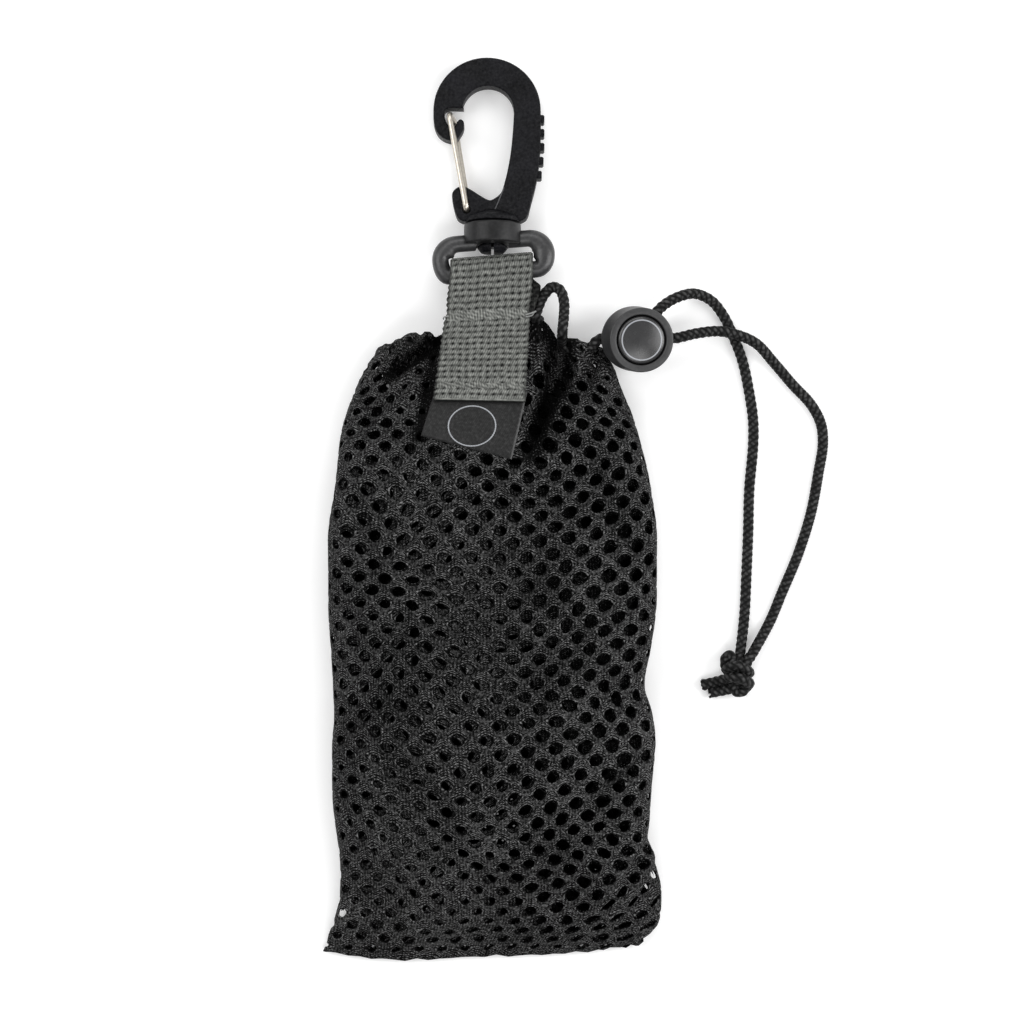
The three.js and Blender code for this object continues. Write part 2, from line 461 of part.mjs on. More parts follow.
// snap hook
function hookGeometry() {
  const shape = new THREE.Shape();
  shape.moveTo(HOOK_INSIDE.at(-1).x, HOOK_INSIDE.at(-1).y);
  for (const p of HOOK_SPINE) shape.lineTo(p.x, p.y);
  for (let i = 0; i <= 16; i++) {
    const a = (i / 16) * Math.PI;
    shape.lineTo(CROWN.x + CROWN.r * Math.cos(a), CROWN.y + CROWN.r * Math.sin(a));
  }
  for (const p of HOOK_NOSE) shape.lineTo(p.x, p.y);
  const begin = Math.PI - 0.22;
  for (let i = 0; i <= 9; i++) {
    const a = begin * (1 - i / 9);
    shape.lineTo(EYE.x + EYE.r * Math.cos(a), EYE.y + EYE.r * Math.sin(a));
  }
  for (const p of HOOK_INSIDE.slice(0, -1)) shape.lineTo(p.x, p.y);
  shape.closePath();
  const plate = new THREE.ExtrudeGeometry(shape, {
    depth: 2 * (HOOK_HALF - HOOK_BEVEL), steps: 1, bevelEnabled: true, bevelThickness: HOOK_BEVEL,
    bevelSize: HOOK_BEVEL, bevelOffset: -HOOK_BEVEL, bevelSegments: 1,
  }).translate(0, 0, -(HOOK_HALF - HOOK_BEVEL));
  let solid = toSolid(plate);
  for (let i = 0; i < RIBS.count; i++) {
    const y = RIBS.first + i * RIBS.pitch;
    const x = 13.4 - 0.9 * smooth(24, 14, y);
    solid = solid.add(toSolid(new THREE.BoxGeometry(2 * RIBS.proud, RIBS.high, 2 * RIBS.half).translate(x, y, 0)));
  }
  const flange = turned([[0, FLANGE.coneTop], [FLANGE.coneR, FLANGE.coneTop], [FLANGE.r, FLANGE.y1], [FLANGE.r, FLANGE.y0], [0, FLANGE.y0]]);
  const stem = turned([
    [0, FLANGE.y0 + 0.4], [STEM.r, FLANGE.y0 + 0.4], [STEM.r, STEM.barbY], [STEM.barbR, STEM.barbY], [STEM.barbR, STEM.barbY - 0.7],
    [STEM.tipR, STEM.tipY], [0, STEM.tipY],
  ], 20);
  solid = solid.add(toSolid(flange)).add(toSolid(stem));
  solid = solid.subtract(toSolid(new THREE.BoxGeometry(STEM.split, 5.5, 12).translate(0, STEM.tipY + 1.0, 0)));
  solid = solid.subtract(toSolid(rod(V(GATE.footX, GATE.footY, -6), V(GATE.footX, GATE.footY, 6), GATE.holeR, 10)));
  return toGeometry(solid);
}

function gateGeometry() {
  const g = GATE;
  const tops = { 1: V(g.topX, g.topY, g.legZ), [-1]: V(g.backX, g.backY, -g.legZ) };
  let solid = toSolid(rod(tops[-1], tops[1], g.r));
  for (const side of [-1, 1]) {
    const top = tops[side], foot = V(g.footX, g.footY, side * g.legZ), pin = V(g.footX, g.footY, side * g.pinIn);
    for (const piece of [rod(top, foot, g.r), ball(top, g.r), ball(foot, g.r), rod(foot, pin, g.r)]) solid = solid.add(toSolid(piece));
  }
  return toGeometry(solid);
}

function ringGeometry() {
  const half = RING.straight / 2, steps = 8, c = Math.cos(RING.yaw), s = Math.sin(RING.yaw);
  const centre = [];
  // round shoulders beside the collar, tighter corners at the straight lower bar
  for (const side of [1, -1]) {
    for (let i = 0; i <= steps; i++) {
      const a = side * (-Math.PI / 2 + (i / steps) * Math.PI);
      const rx = a < 0 ? RING.cornerR : RING.endR, mid = half + RING.endR - rx;
      const n = new THREE.Vector2(Math.cos(a) / rx, Math.sin(a) / RING.endR).normalize();
      centre.push({ x: side * (mid + rx * Math.cos(a)), y: RING.endR * Math.sin(a), nx: side * n.x, ny: n.y });
    }
  }
  const rings = centre.map((p) => Array.from({ length: 10 }, (_, k) => {
    const a = (k / 10) * 2 * Math.PI, out = RING.bar * Math.cos(a), z = RING.bar * Math.sin(a);
    const x = p.x + p.nx * out, y = p.y + p.ny * out;
    return V(RING.x + x * c - y * s, RING.y + x * s + y * c, z);
  }));
  let solid = toSolid(outward(skin(rings, true)));
  const e = COLLAR.edge;
  const collar = turned([[0, COLLAR.y1], [COLLAR.r - e, COLLAR.y1], [COLLAR.r, COLLAR.y1 - e], [COLLAR.r, COLLAR.y0 + e], [COLLAR.r - e, COLLAR.y0], [0, COLLAR.y0]]);
  solid = solid.add(toSolid(collar));
  solid = solid.subtract(toSolid(rod(V(0, -12, 0), V(0, 12, 0), COLLAR.bore, 20)));
  solid = solid.subtract(toSolid(rod(V(0, -7.6, 0), V(0, COLLAR.y0, 0), COLLAR.counter, 20)));
  return toGeometry(solid);
}

// cord lock: a turned cup with a bore for the plunger, crossed by the two cords
function turnedUp(profile, segments) { return turned(profile, segments).rotateX(Math.PI / 2); }

function lockGeometry() {
  const L = LOCK;
  let solid = toSolid(turnedUp([
    [0, 0], [L.baseR, 0], [L.footR, 1.2], [L.lipR, 9.5], [L.rimR, 12.0], [L.rimR, L.top - 0.7], [L.rimR - 0.7, L.top],
    [L.recessR + 0.5, L.top], [L.recessR, L.top - 0.5], [L.recessR, L.recess], [L.bore, L.recess], [L.bore, L.floor], [0, L.floor],
  ], 24));
  for (const way of [upperWay, lowerWay]) solid = solid.subtract(toSolid(toGeometry(way).applyMatrix4(lockInverse)));
  return toGeometry(solid);
}

function buttonGeometry() {
  const B = BUTTON, L = LOCK;
  let solid = toSolid(turnedUp([
    [0, B.stemFoot], [B.stemR, B.stemFoot], [B.stemR, B.under], [B.r, B.under], [B.r, B.edge], [B.r - 0.5, B.edge + 0.35], [B.r * 0.6, B.crown - 0.15], [0, B.crown],
  ], 24));
  const low = L.cordAt - CORD_CLEAR - 0.1, high = L.cordAt + CORD_CLEAR + 0.1 + L.travel;
  const slot = new THREE.BoxGeometry(30, B.slotW, high - low).rotateZ(L.cordTurn).translate(0, 0, (low + high) / 2);
  return toGeometry(solid.subtract(toSolid(slot)));
}

function knotGeometry() {
  let solid = toSolid(new THREE.SphereGeometry(1, 14, 10).rotateX(Math.PI / 2).scale(KNOT.rx, KNOT.ry, KNOT.rz).translate(KNOT.x, KNOT.y, KNOT.z));
  for (const t of TAILS) solid = solid.add(toSolid(rod(V(t.x0, t.y0, t.z0), V(t.x1, t.y1, t.z1), CORD_R)));
  solid = solid.add(toSolid(ball(EAR, EAR.r, 10, 8)));
  return toGeometry(solid);
}

// ---------------------------------------------------------------- assembly
const look = (color, roughness, metalness = 0) => new THREE.MeshStandardMaterial({ color, roughness, metalness });
const group = new THREE.Group();
function put(parent, name, geometry, material) {
  const mesh = new THREE.Mesh(geometry, material);
  mesh.name = name;
  parent.add(mesh);
}

put(group, 'bag_body', toGeometry(bagSolid), look(0x26262a, 0.85));
put(group, 'inner_panel', panelGeometry(), look(0x1c1c20, 0.9));
put(group, 'webbing_strap', strapGeometry(), look(0x74746f, 0.85));
put(group, 'label_tab', labelGeometry(), look(0x363638, 0.6));
put(group, 'drawcord_casing', tube(casing, CORD_R, CASING_STEPS), look(0x18181a, 0.8));
put(group, 'strand_upper', tube(upperRoute, CORD_R, STRAND_STEPS), look(0x18181a, 0.8));
put(group, 'strand_lower', tube(lowerRoute, CORD_R, STRAND_STEPS), look(0x18181a, 0.8));
put(group, 'cord_knot', knotGeometry(), look(0x18181a, 0.8));

put(lockFrame, 'lock_body', lockGeometry(), look(0x2c2c2e, 0.45));
put(lockFrame, 'lock_button', buttonGeometry(), look(0x3a3a3c, 0.35));
group.add(lockFrame);

put(hookFrame, 'snap_hook', hookGeometry(), look(0x1e1e20, 0.5));
put(hookFrame, 'wire_gate', gateGeometry(), look(0xb8b2a4, 0.3, 1.0));
put(hookFrame, 'swivel_ring', ringGeometry(), look(0x3a3a3d, 0.42));
group.add(hookFrame);

export default group;
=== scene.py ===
"""Looks of a small drawstring mesh pouch lying on its back: knitted mesh bag with a
gathered hem, webbing strap, label tab, swivel ring, snap hook with a wire gate,
and a braided drawcord with a cord lock and a knot. Sizes below are millimetres."""
import math

import bpy
import numpy as np
from mathutils import Matrix, Vector


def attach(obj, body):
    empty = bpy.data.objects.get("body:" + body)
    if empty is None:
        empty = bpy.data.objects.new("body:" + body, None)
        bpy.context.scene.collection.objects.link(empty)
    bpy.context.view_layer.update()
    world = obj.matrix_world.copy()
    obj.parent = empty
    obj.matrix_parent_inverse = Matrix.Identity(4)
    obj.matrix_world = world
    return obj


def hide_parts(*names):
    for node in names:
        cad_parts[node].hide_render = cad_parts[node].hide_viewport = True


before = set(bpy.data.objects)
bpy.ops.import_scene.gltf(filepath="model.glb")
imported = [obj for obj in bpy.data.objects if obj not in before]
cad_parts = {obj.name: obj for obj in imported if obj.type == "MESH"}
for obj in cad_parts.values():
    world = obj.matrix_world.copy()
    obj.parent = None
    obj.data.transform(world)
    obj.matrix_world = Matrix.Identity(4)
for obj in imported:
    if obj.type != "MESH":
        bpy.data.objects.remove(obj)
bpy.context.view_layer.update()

MM = 0.001
RNG = np.random.default_rng(20411)
DEG = math.pi / 180
TAU = 2 * math.pi


# ------------------------------------------------------------------ helpers
def smooth(a, b, t):
    k = np.clip((np.asarray(t, float) - a) / (b - a), 0, 1)
    return k * k * (3 - 2 * k)


def lerp(a, b, t):
    return a + (b - a) * t


def unit(v):
    v = np.asarray(v, float)
    return v / np.maximum(np.linalg.norm(v, axis=-1, keepdims=True), 1e-12)


def pchip(x, y, q):
    """Smooth curve through a table with no overshoot."""
    x, y, q = np.asarray(x, float), np.asarray(y, float), np.asarray(q, float)
    h, d = np.diff(x), np.diff(y) / np.diff(x)
    m = np.zeros_like(y)
    m[0], m[-1] = d[0], d[-1]
    for i in range(1, len(x) - 1):
        if d[i - 1] * d[i] > 0:
            w1, w2 = 2 * h[i] + h[i - 1], h[i] + 2 * h[i - 1]
            m[i] = (w1 + w2) / (w1 / d[i - 1] + w2 / d[i])
    i = np.clip(np.searchsorted(x, q) - 1, 0, len(x) - 2)
    t = (q - x[i]) / h[i]
    return (
        (2 * t**3 - 3 * t**2 + 1) * y[i]
        + (t**3 - 2 * t**2 + t) * h[i] * m[i]
        + (3 * t**2 - 2 * t**3) * y[i + 1]
        + (t**3 - t**2) * h[i] * m[i + 1]
    )


def curve_through(points, step=None, per=16):
    """Centripetal curve through points, as even steps where step is given."""
    p = np.asarray(points, float)
    n = len(p)
    out = []
    for i in range(n - 1):
        p1, p2 = p[i], p[i + 1]
        p0 = p[i - 1] if i > 0 else 2 * p[0] - p[1]
        p3 = p[i + 2] if i + 2 < n else 2 * p[-1] - p[-2]
        d0, d1, d2 = (max(np.linalg.norm(b - a) ** 0.5, 1e-5) for a, b in ((p0, p1), (p1, p2), (p2, p3)))
        m1 = ((p1 - p0) / d0 - (p2 - p0) / (d0 + d1) + (p2 - p1) / d1) * d1
        m2 = ((p2 - p1) / d1 - (p3 - p1) / (d1 + d2) + (p3 - p2) / d2) * d1
        t = np.linspace(0, 1, per, endpoint=False)[:, None]
        out.append(
            (2 * t**3 - 3 * t**2 + 1) * p1
            + (t**3 - 2 * t**2 + t) * m1
            + (3 * t**2 - 2 * t**3) * p2
            + (t**3 - t**2) * m2
        )
    line = np.concatenate(out + [p[-1:]])
    return line if step is None else even(line, step)


def even(line, step):
    """The same line with points an even step apart."""
    line = np.asarray(line, float)
    run = np.concatenate([[0], np.cumsum(np.linalg.norm(np.diff(line, axis=0), axis=1))])
    q = np.linspace(0, run[-1], max(2, int(round(run[-1] / step)) + 1))
    return np.stack([np.interp(q, run, line[:, k]) for k in range(line.shape[1])], 1)


def mesh_object(name, verts, faces, mat, uv=None, fields=None, sharp=None):
    """Object from vertices in millimetres and arrays of triangles or quads."""
    groups = [np.asarray(f, np.int64) for f in (faces if isinstance(faces, list) else [faces]) if len(f)]
    loops = np.concatenate([g.reshape(-1) for g in groups])
    sizes = np.concatenate([np.full(len(g), g.shape[1]) for g in groups])
    me = bpy.data.meshes.new(name)
    me.vertices.add(len(verts))
    me.vertices.foreach_set("co", (np.asarray(verts, float) * MM).astype(np.float32).ravel())
    me.loops.add(len(loops))
    me.loops.foreach_set("vertex_index", loops.astype(np.int32))
    me.polygons.add(len(sizes))
    me.polygons.foreach_set("loop_start", np.concatenate([[0], np.cumsum(sizes)[:-1]]).astype(np.int32))
    me.update(calc_edges=True)
    me.validate()
    me.polygons.foreach_set("use_smooth", np.ones(len(me.polygons), bool))
    if uv is not None:
        layer = me.uv_layers.new(name="cloth")
        layer.data.foreach_set("uv", np.asarray(uv, np.float32)[loops].ravel())
    for key, values in (fields or {}).items():
        me.attributes.new(key, "FLOAT", "POINT").data.foreach_set("value", np.asarray(values, np.float32))
    if sharp is not None:
        me.set_sharp_from_angle(angle=sharp * DEG)
    ob = bpy.data.objects.new(name, me)
    bpy.context.scene.collection.objects.link(ob)
    if mat is not None:
        me.materials.append(mat)
    return ob


def grid_faces(rows, columns, wrap_rows=False, wrap_columns=False, start=0):
    r = np.arange(rows if wrap_rows else rows - 1)[:, None]
    c = np.arange(columns if wrap_columns else columns - 1)[None, :]
    r2, c2 = (r + 1) % rows, (c + 1) % columns
    return start + np.stack(
        [r * columns + c, r * columns + c2, r2 * columns + c2, r2 * columns + c], -1
    ).reshape(-1, 4)


def frames_along(line):
    """Tangent and two cross directions that don't twist."""
    t = unit(np.gradient(line, axis=0))
    n = np.zeros_like(line)
    seed = np.array([0.0, 0, 1]) if abs(t[0][2]) < 0.9 else np.array([1.0, 0, 0])
    n[0] = unit(seed - t[0] * (seed @ t[0]))
    for i in range(1, len(line)):
        v = n[i - 1] - t[i] * (n[i - 1] @ t[i])
        n[i] = unit(v)
    return t, n, np.cross(t, n)


def tube(line, radius, sides, closed=False, shape=None):
    """Rings round a line: vertices, faces, and per vertex the angle and the run."""
    t, n, b = frames_along(line)
    run = np.concatenate([[0], np.cumsum(np.linalg.norm(np.diff(line, axis=0), axis=1))])
    a = np.arange(sides) / sides * TAU
    ang, dist = np.meshgrid(a, run)
    r = np.broadcast_to(np.asarray(radius, float).reshape(-1, 1) if np.ndim(radius) else radius, ang.shape)
    if shape is not None:
        r = r * shape(ang, dist)
    v = line[:, None] + r[..., None] * (np.cos(ang)[..., None] * n[:, None] + np.sin(ang)[..., None] * b[:, None])
    v = v.reshape(-1, 3)
    f = [grid_faces(len(line), sides, closed, True)]
    if not closed:
        k = len(v)
        v = np.concatenate([v, line[:1], line[-1:]])
        i = np.arange(sides)
        j = (i + 1) % sides
        f.append(np.stack([np.full(sides, k), j, i], 1))
        last = (len(line) - 1) * sides
        f.append(np.stack([np.full(sides, k + 1), last + i, last + j], 1))
        ang = np.concatenate([ang.ravel(), [0, 0]])
        dist = np.concatenate([dist.ravel(), [0, run[-1]]])
    return v, f, ang.ravel(), dist.ravel()


def turned(profile, segments=96):
    """Turned form about the local Z from (radius, height) points; it starts and ends on the axis."""
    p = np.asarray(profile, float)
    inner = p[1:-1]
    a = np.arange(segments) / segments * TAU
    v = np.stack(
        [
            inner[:, 0][:, None] * np.cos(a),
            inner[:, 0][:, None] * np.sin(a),
            np.broadcast_to(inner[:, 1][:, None], (len(inner), segments)),
        ],
        -1,
    ).reshape(-1, 3)
    f = [grid_faces(len(inner), segments, False, True)]
    k = len(v)
    v = np.concatenate([v, [[0, 0, p[0, 1]], [0, 0, p[-1, 1]]]])
    i = np.arange(segments)
    j = (i + 1) % segments
    f.append(np.stack([np.full(segments, k), j, i], 1))
    last = (len(inner) - 1) * segments
    f.append(np.stack([np.full(segments, k + 1), last + i, last + j], 1))
    return v, f


def rounded(profile, radius=0.4, steps=4):
    """Profile with its inner corners rounded."""
    p = np.asarray(profile, float)
    out = [p[0]]
    for i in range(1, len(p) - 1):
        a, b = p[i - 1] - p[i], p[i + 1] - p[i]
        la, lb = np.linalg.norm(a), np.linalg.norm(b)
        r = min(radius, 0.45 * la, 0.45 * lb)
        p1, p2 = p[i] + a / la * r, p[i] + b / lb * r
        for t in np.linspace(0, 1, steps + 1):
            out.append((1 - t) ** 2 * p1 + 2 * t * (1 - t) * p[i] + t**2 * p2)
    out.append(p[-1])
    return np.array(out)


def applied(ob):
    """Replaces the mesh by its evaluated one, so that no modifier is left."""
    dg = bpy.context.evaluated_depsgraph_get()
    me = bpy.data.meshes.new_from_object(ob.evaluated_get(dg))
    old = ob.data
    ob.modifiers.clear()
    ob.data = me
    bpy.data.meshes.remove(old)
    return ob


def carve(ob, cutter, operation="DIFFERENCE"):
    mod = ob.modifiers.new("cut", "BOOLEAN")
    mod.object, mod.operation, mod.solver = cutter, operation, "EXACT"
    applied(ob)
    bpy.data.objects.remove(cutter)
    return ob


def joined(name, parts, mat, sharp=None, fields=()):
    """One mesh from several (vertices, faces[, field values]) pieces."""
    verts, faces, at, values = [], [], 0, {k: [] for k in fields}
    for part in parts:
        v, f = part[0], part[1]
        verts.append(v)
        faces += [np.asarray(g) + at for g in (f if isinstance(f, list) else [f])]
        for i, k in enumerate(fields):
            values[k].append(np.broadcast_to(np.asarray(part[2 + i], float), (len(v),)))
        at += len(v)
    return mesh_object(
        name, np.concatenate(verts), faces, mat, fields={k: np.concatenate(x) for k, x in values.items()}, sharp=sharp
    )


def outward(ob):
    """Faces point out of the closed form."""
    import bmesh

    bm = bmesh.new()
    bm.from_mesh(ob.data)
    bmesh.ops.recalc_face_normals(bm, faces=bm.faces)
    bm.to_mesh(ob.data)
    bm.free()
    ob.data.update()
    return ob


# ------------------------------------------------------------------ camera, floor, light
scene = bpy.context.scene
VIEW = dict(x=5.49, y=-0.92, wide=288.5, level=10.0, far=1200.0)
cam = bpy.data.cameras.new("camera")
cam.sensor_width, cam.sensor_fit = 36.0, "HORIZONTAL"
cam.lens = 36.0 * VIEW["far"] / VIEW["wide"]
cam.clip_start, cam.clip_end = 0.05, 20.0
camera = bpy.data.objects.new("camera", cam)
camera.location = (VIEW["x"] * MM, VIEW["y"] * MM, (VIEW["level"] + VIEW["far"]) * MM)
scene.collection.objects.link(camera)
scene.camera = camera
scene.view_settings.view_transform = "Standard"
scene.view_settings.look = "None"


def softbox(name, at, aim, wide, high, power):
    light = bpy.data.lights.new(name, "AREA")
    light.shape, light.size, light.size_y, light.energy = "RECTANGLE", wide, high, power
    ob = bpy.data.objects.new(name, light)
    ob.location = at
    ob.rotation_euler = (Vector(aim) - Vector(at)).to_track_quat("-Z", "Y").to_euler()
    scene.collection.objects.link(ob)


softbox("soft_left", (-0.95, 0.35, 1.05), (0, 0, 0), 0.9, 1.2, 9.5)
softbox("soft_right", (1.15, 0.05, 0.78), (0.02, -0.02, 0), 0.8, 1.1, 12.5)
softbox("soft_low", (0.20, -0.66, 1.25), (0, 0, 0), 0.9, 0.5, 5.0)
softbox("soft_top", (-0.05, 1.05, 0.95), (0, 0.02, 0), 1.2, 0.7, 6.5)

world = bpy.data.worlds.new("studio")
scene.world = world
world.use_nodes = True
world.node_tree.nodes["Background"].inputs["Color"].default_value = (1.0, 1.0, 1.0, 1.0)
world.node_tree.nodes["Background"].inputs["Strength"].default_value = 0.40


# ------------------------------------------------------------------ materials
def material(name, color, roughness, **inputs):
    m = bpy.data.materials.new(name)
    m.use_nodes = True
    nt = m.node_tree
    bsdf = nt.nodes["Principled BSDF"]
    bsdf.inputs["Base Color"].default_value = (*color, 1.0)
    bsdf.inputs["Roughness"].default_value = roughness
    for key, value in inputs.items():
        bsdf.inputs[key.replace("_", " ")].default_value = value
    return m, nt, bsdf


def node(nt, kind, props=None, **inputs):
    n = nt.nodes.new(kind)
    for k, v in (props or {}).items():
        setattr(n, k, v)
    for k, v in inputs.items():
        key = int(k[1:]) if k[0] == "i" and k[1:].isdigit() else k
        if isinstance(v, bpy.types.NodeSocket):
            nt.links.new(v, n.inputs[key])
        else:
            n.inputs[key].default_value = v
    return n


def math_node(nt, op, a, b=None):
    n = node(nt, "ShaderNodeMath", {"operation": op}, i0=a)
    if b is not None:
        if isinstance(b, bpy.types.NodeSocket):
            nt.links.new(b, n.inputs[1])
        else:
            n.inputs[1].default_value = b
    return n.outputs[0]


def ramp(nt, fac, stops):
    n = nt.nodes.new("ShaderNodeValToRGB")
    nt.links.new(fac, n.inputs["Fac"])
    e = n.color_ramp.elements
    while len(e) < len(stops):
        e.new(0.5)
    for item, (at, c) in zip(e, stops):
        item.position, item.color = at, (*(c if np.ndim(c) else (c, c, c)), 1.0)
    return n.outputs["Color"]


def bump(nt, bsdf, height, strength, distance):
    n = node(nt, "ShaderNodeBump", Strength=strength, Distance=distance, Height=height)
    nt.links.new(n.outputs["Normal"], bsdf.inputs["Normal"])
    return n


def noise(nt, scale, detail=3.0, vector=None, rough=0.55):
    n = node(nt, "ShaderNodeTexNoise", Scale=scale, Detail=detail, Roughness=rough)
    if vector is None:
        vector = node(nt, "ShaderNodeTexCoord").outputs["Object"]
    nt.links.new(vector, n.inputs["Vector"])
    return n.outputs["Fac"]


def knit_material(name, light, dark, strength):
    """Warp-knit mesh: fine courses that flow round the holes; the 'deep' attribute paints shade where the cloth lies
    deep in the bag, in creases and at hole rims, and broad light and shade over the front.
    """
    m, nt, bsdf = material(name, (light,) * 3, 0.75, Specular_IOR_Level=0.06)
    uv = node(nt, "ShaderNodeUVMap", {"uv_map": "cloth"}).outputs["UV"]
    parts = node(nt, "ShaderNodeSeparateXYZ", Vector=uv)
    deep = node(nt, "ShaderNodeAttribute", {"attribute_name": "deep"}).outputs["Fac"]
    fibre = math_node(nt, "SUBTRACT", noise(nt, 1500.0, 2.0), 0.5)
    wobble = math_node(nt, "MULTIPLY", noise(nt, 260.0, 2.0), 5.0)
    course = math_node(nt, "MULTIPLY", parts.outputs["Y"], TAU / 0.76)
    wave = math_node(nt, "SINE", math_node(nt, "ADD", course, wobble))
    wale = math_node(nt, "SINE", math_node(nt, "ADD", math_node(nt, "MULTIPLY", parts.outputs["X"], TAU / 0.9), wobble))
    loops = math_node(nt, "MULTIPLY", wave, math_node(nt, "ADD", math_node(nt, "MULTIPLY", wale, 0.45), 0.55))
    height = math_node(nt, "ADD", math_node(nt, "MULTIPLY", loops, 0.5), math_node(nt, "MULTIPLY", fibre, 1.7))
    patch = math_node(nt, "SUBTRACT", noise(nt, 70.0, 3.0), 0.5)
    tone = math_node(nt, "ADD", math_node(nt, "MULTIPLY", height, 0.8), math_node(nt, "MULTIPLY", patch, 0.25))
    # painted shade and light: the 'deep' attribute lowers the tone, and raises it where it is negative
    tone = math_node(nt, "SUBTRACT", math_node(nt, "ADD", tone, 0.5), math_node(nt, "MULTIPLY", deep, 0.6))
    nt.links.new(ramp(nt, tone, [(0.38, dark), (0.6, 0.16 * light), (0.95, light)]), bsdf.inputs["Base Color"])
    bump(nt, bsdf, height, strength, 0.0003)
    return m


def webbing_material():
    m, nt, bsdf = material("webbing", (0.17, 0.17, 0.16), 0.75, Specular_IOR_Level=0.12)
    # the 'height' attribute carries painted shade: dark in the weave's pits and on the back leg of the strap
    deep = node(nt, "ShaderNodeAttribute", {"attribute_name": "height"}).outputs["Fac"]
    grain = noise(nt, 900.0, 3.0)
    mix = math_node(nt, "ADD", deep, math_node(nt, "MULTIPLY", math_node(nt, "SUBTRACT", grain, 0.5), 0.8))
    color = ramp(nt, mix, [(0.05, (0.006, 0.006, 0.006)), (0.45, (0.084, 0.087, 0.081)), (1.0, (0.325, 0.333, 0.312))])
    nt.links.new(color, bsdf.inputs["Base Color"])
    bump(nt, bsdf, grain, 0.5, 0.0002)
    return m


def label_material():
    m, nt, bsdf = material("label_tape", (0.028, 0.028, 0.030), 0.5, Specular_IOR_Level=0.18)
    xyz = node(nt, "ShaderNodeSeparateXYZ", Vector=node(nt, "ShaderNodeTexCoord").outputs["Object"])
    slant = math_node(nt, "ADD", math_node(nt, "MULTIPLY", xyz.outputs["X"], 1.0), math_node(nt, "MULTIPLY", xyz.outputs["Y"], 1.6))
    twill = math_node(nt, "SINE", math_node(nt, "MULTIPLY", slant, TAU / 0.00062))
    # the 'edge' attribute paints a highlight on the right edge and a shadow under the strap
    edge = node(nt, "ShaderNodeAttribute", {"attribute_name": "edge"}).outputs["Fac"]
    grain = noise(nt, 1300.0, 2.0)
    height = math_node(nt, "ADD", math_node(nt, "MULTIPLY", twill, 0.3), math_node(nt, "MULTIPLY", grain, 1.1))
    tone = math_node(nt, "ADD", math_node(nt, "MULTIPLY", math_node(nt, "SUBTRACT", height, 0.29), 0.85), math_node(nt, "MULTIPLY", edge, 0.7))
    nt.links.new(ramp(nt, tone, [(0.0, 0.004), (0.5, 0.026), (1.0, 0.095)]), bsdf.inputs["Base Color"])
    bump(nt, bsdf, height, 0.35, 0.00012)
    return m


def cord_material():
    m, nt, bsdf = material("braided_cord", (0.016, 0.016, 0.017), 0.6, Specular_IOR_Level=0.12)
    # the 'height' attribute paints shade in the grooves between the braid's strands
    deep = node(nt, "ShaderNodeAttribute", {"attribute_name": "height"}).outputs["Fac"]
    fibre = noise(nt, 1900.0, 2.0)
    yarn = math_node(nt, "SUBTRACT", noise(nt, 620.0, 1.0), 0.5)
    mix = math_node(nt, "ADD", math_node(nt, "MULTIPLY", deep, 0.8), math_node(nt, "MULTIPLY", fibre, 0.3))
    mix = math_node(nt, "ADD", mix, math_node(nt, "MULTIPLY", yarn, 0.7))
    nt.links.new(ramp(nt, mix, [(0.3, 0.001), (0.65, 0.011), (1.0, 0.060)]), bsdf.inputs["Base Color"])
    bump(nt, bsdf, fibre, 0.6, 0.0002)
    return m


def plastic(name, color, roughness, grain=0.12, scale=2600.0, spread=0.2, deep=0.0001, mottle=0.6, **more):
    m, nt, bsdf = material(name, color, roughness, **more)
    fine = noise(nt, scale, 2.0)
    wide = noise(nt, 130.0, 3.0)
    tone = math_node(nt, "ADD", math_node(nt, "MULTIPLY", fine, 0.35), math_node(nt, "MULTIPLY", wide, 0.65))
    c = np.array(color)
    # painted shade: where this attribute is set, the colour is darker and the shine lower
    painted_shade = node(nt, "ShaderNodeAttribute", {"attribute_name": "painted_shade"}).outputs["Fac"]
    dim = math_node(nt, "SUBTRACT", 1.0, math_node(nt, "MULTIPLY", painted_shade, 0.5))
    color = ramp(nt, tone, [(0.25, tuple((1 - spread) * c)), (0.75, tuple((1 + spread) * c))])
    nt.links.new(node(nt, "ShaderNodeVectorMath", {"operation": "SCALE"}, Vector=color, Scale=dim).outputs["Vector"], bsdf.inputs["Base Color"])
    rough = node(nt, "ShaderNodeMapRange", Value=wide, i1=0.3, i2=0.7, i3=roughness - 0.05, i4=roughness + 0.07)
    nt.links.new(rough.outputs["Result"], bsdf.inputs["Roughness"])
    shine = math_node(nt, "MULTIPLY", math_node(nt, "SUBTRACT", 1.0, math_node(nt, "MULTIPLY", painted_shade, 0.6)), more.get("Specular_IOR_Level", 0.5))
    shine = math_node(nt, "MULTIPLY", shine, math_node(nt, "ADD", math_node(nt, "MULTIPLY", math_node(nt, "SUBTRACT", fine, 0.5), mottle), 1.0))
    nt.links.new(shine, bsdf.inputs["Specular IOR Level"])
    bump(nt, bsdf, fine, grain, deep)
    return m


def steel():
    m, nt, bsdf = material("nickel_wire", (0.62, 0.58, 0.51), 0.32, Metallic=1.0)
    fine = noise(nt, 1400.0, 3.0)
    nt.links.new(ramp(nt, fine, [(0.3, (0.50, 0.46, 0.40)), (0.7, (0.64, 0.60, 0.53))]), bsdf.inputs["Base Color"])
    bump(nt, bsdf, fine, 0.04, 0.0001)
    return m


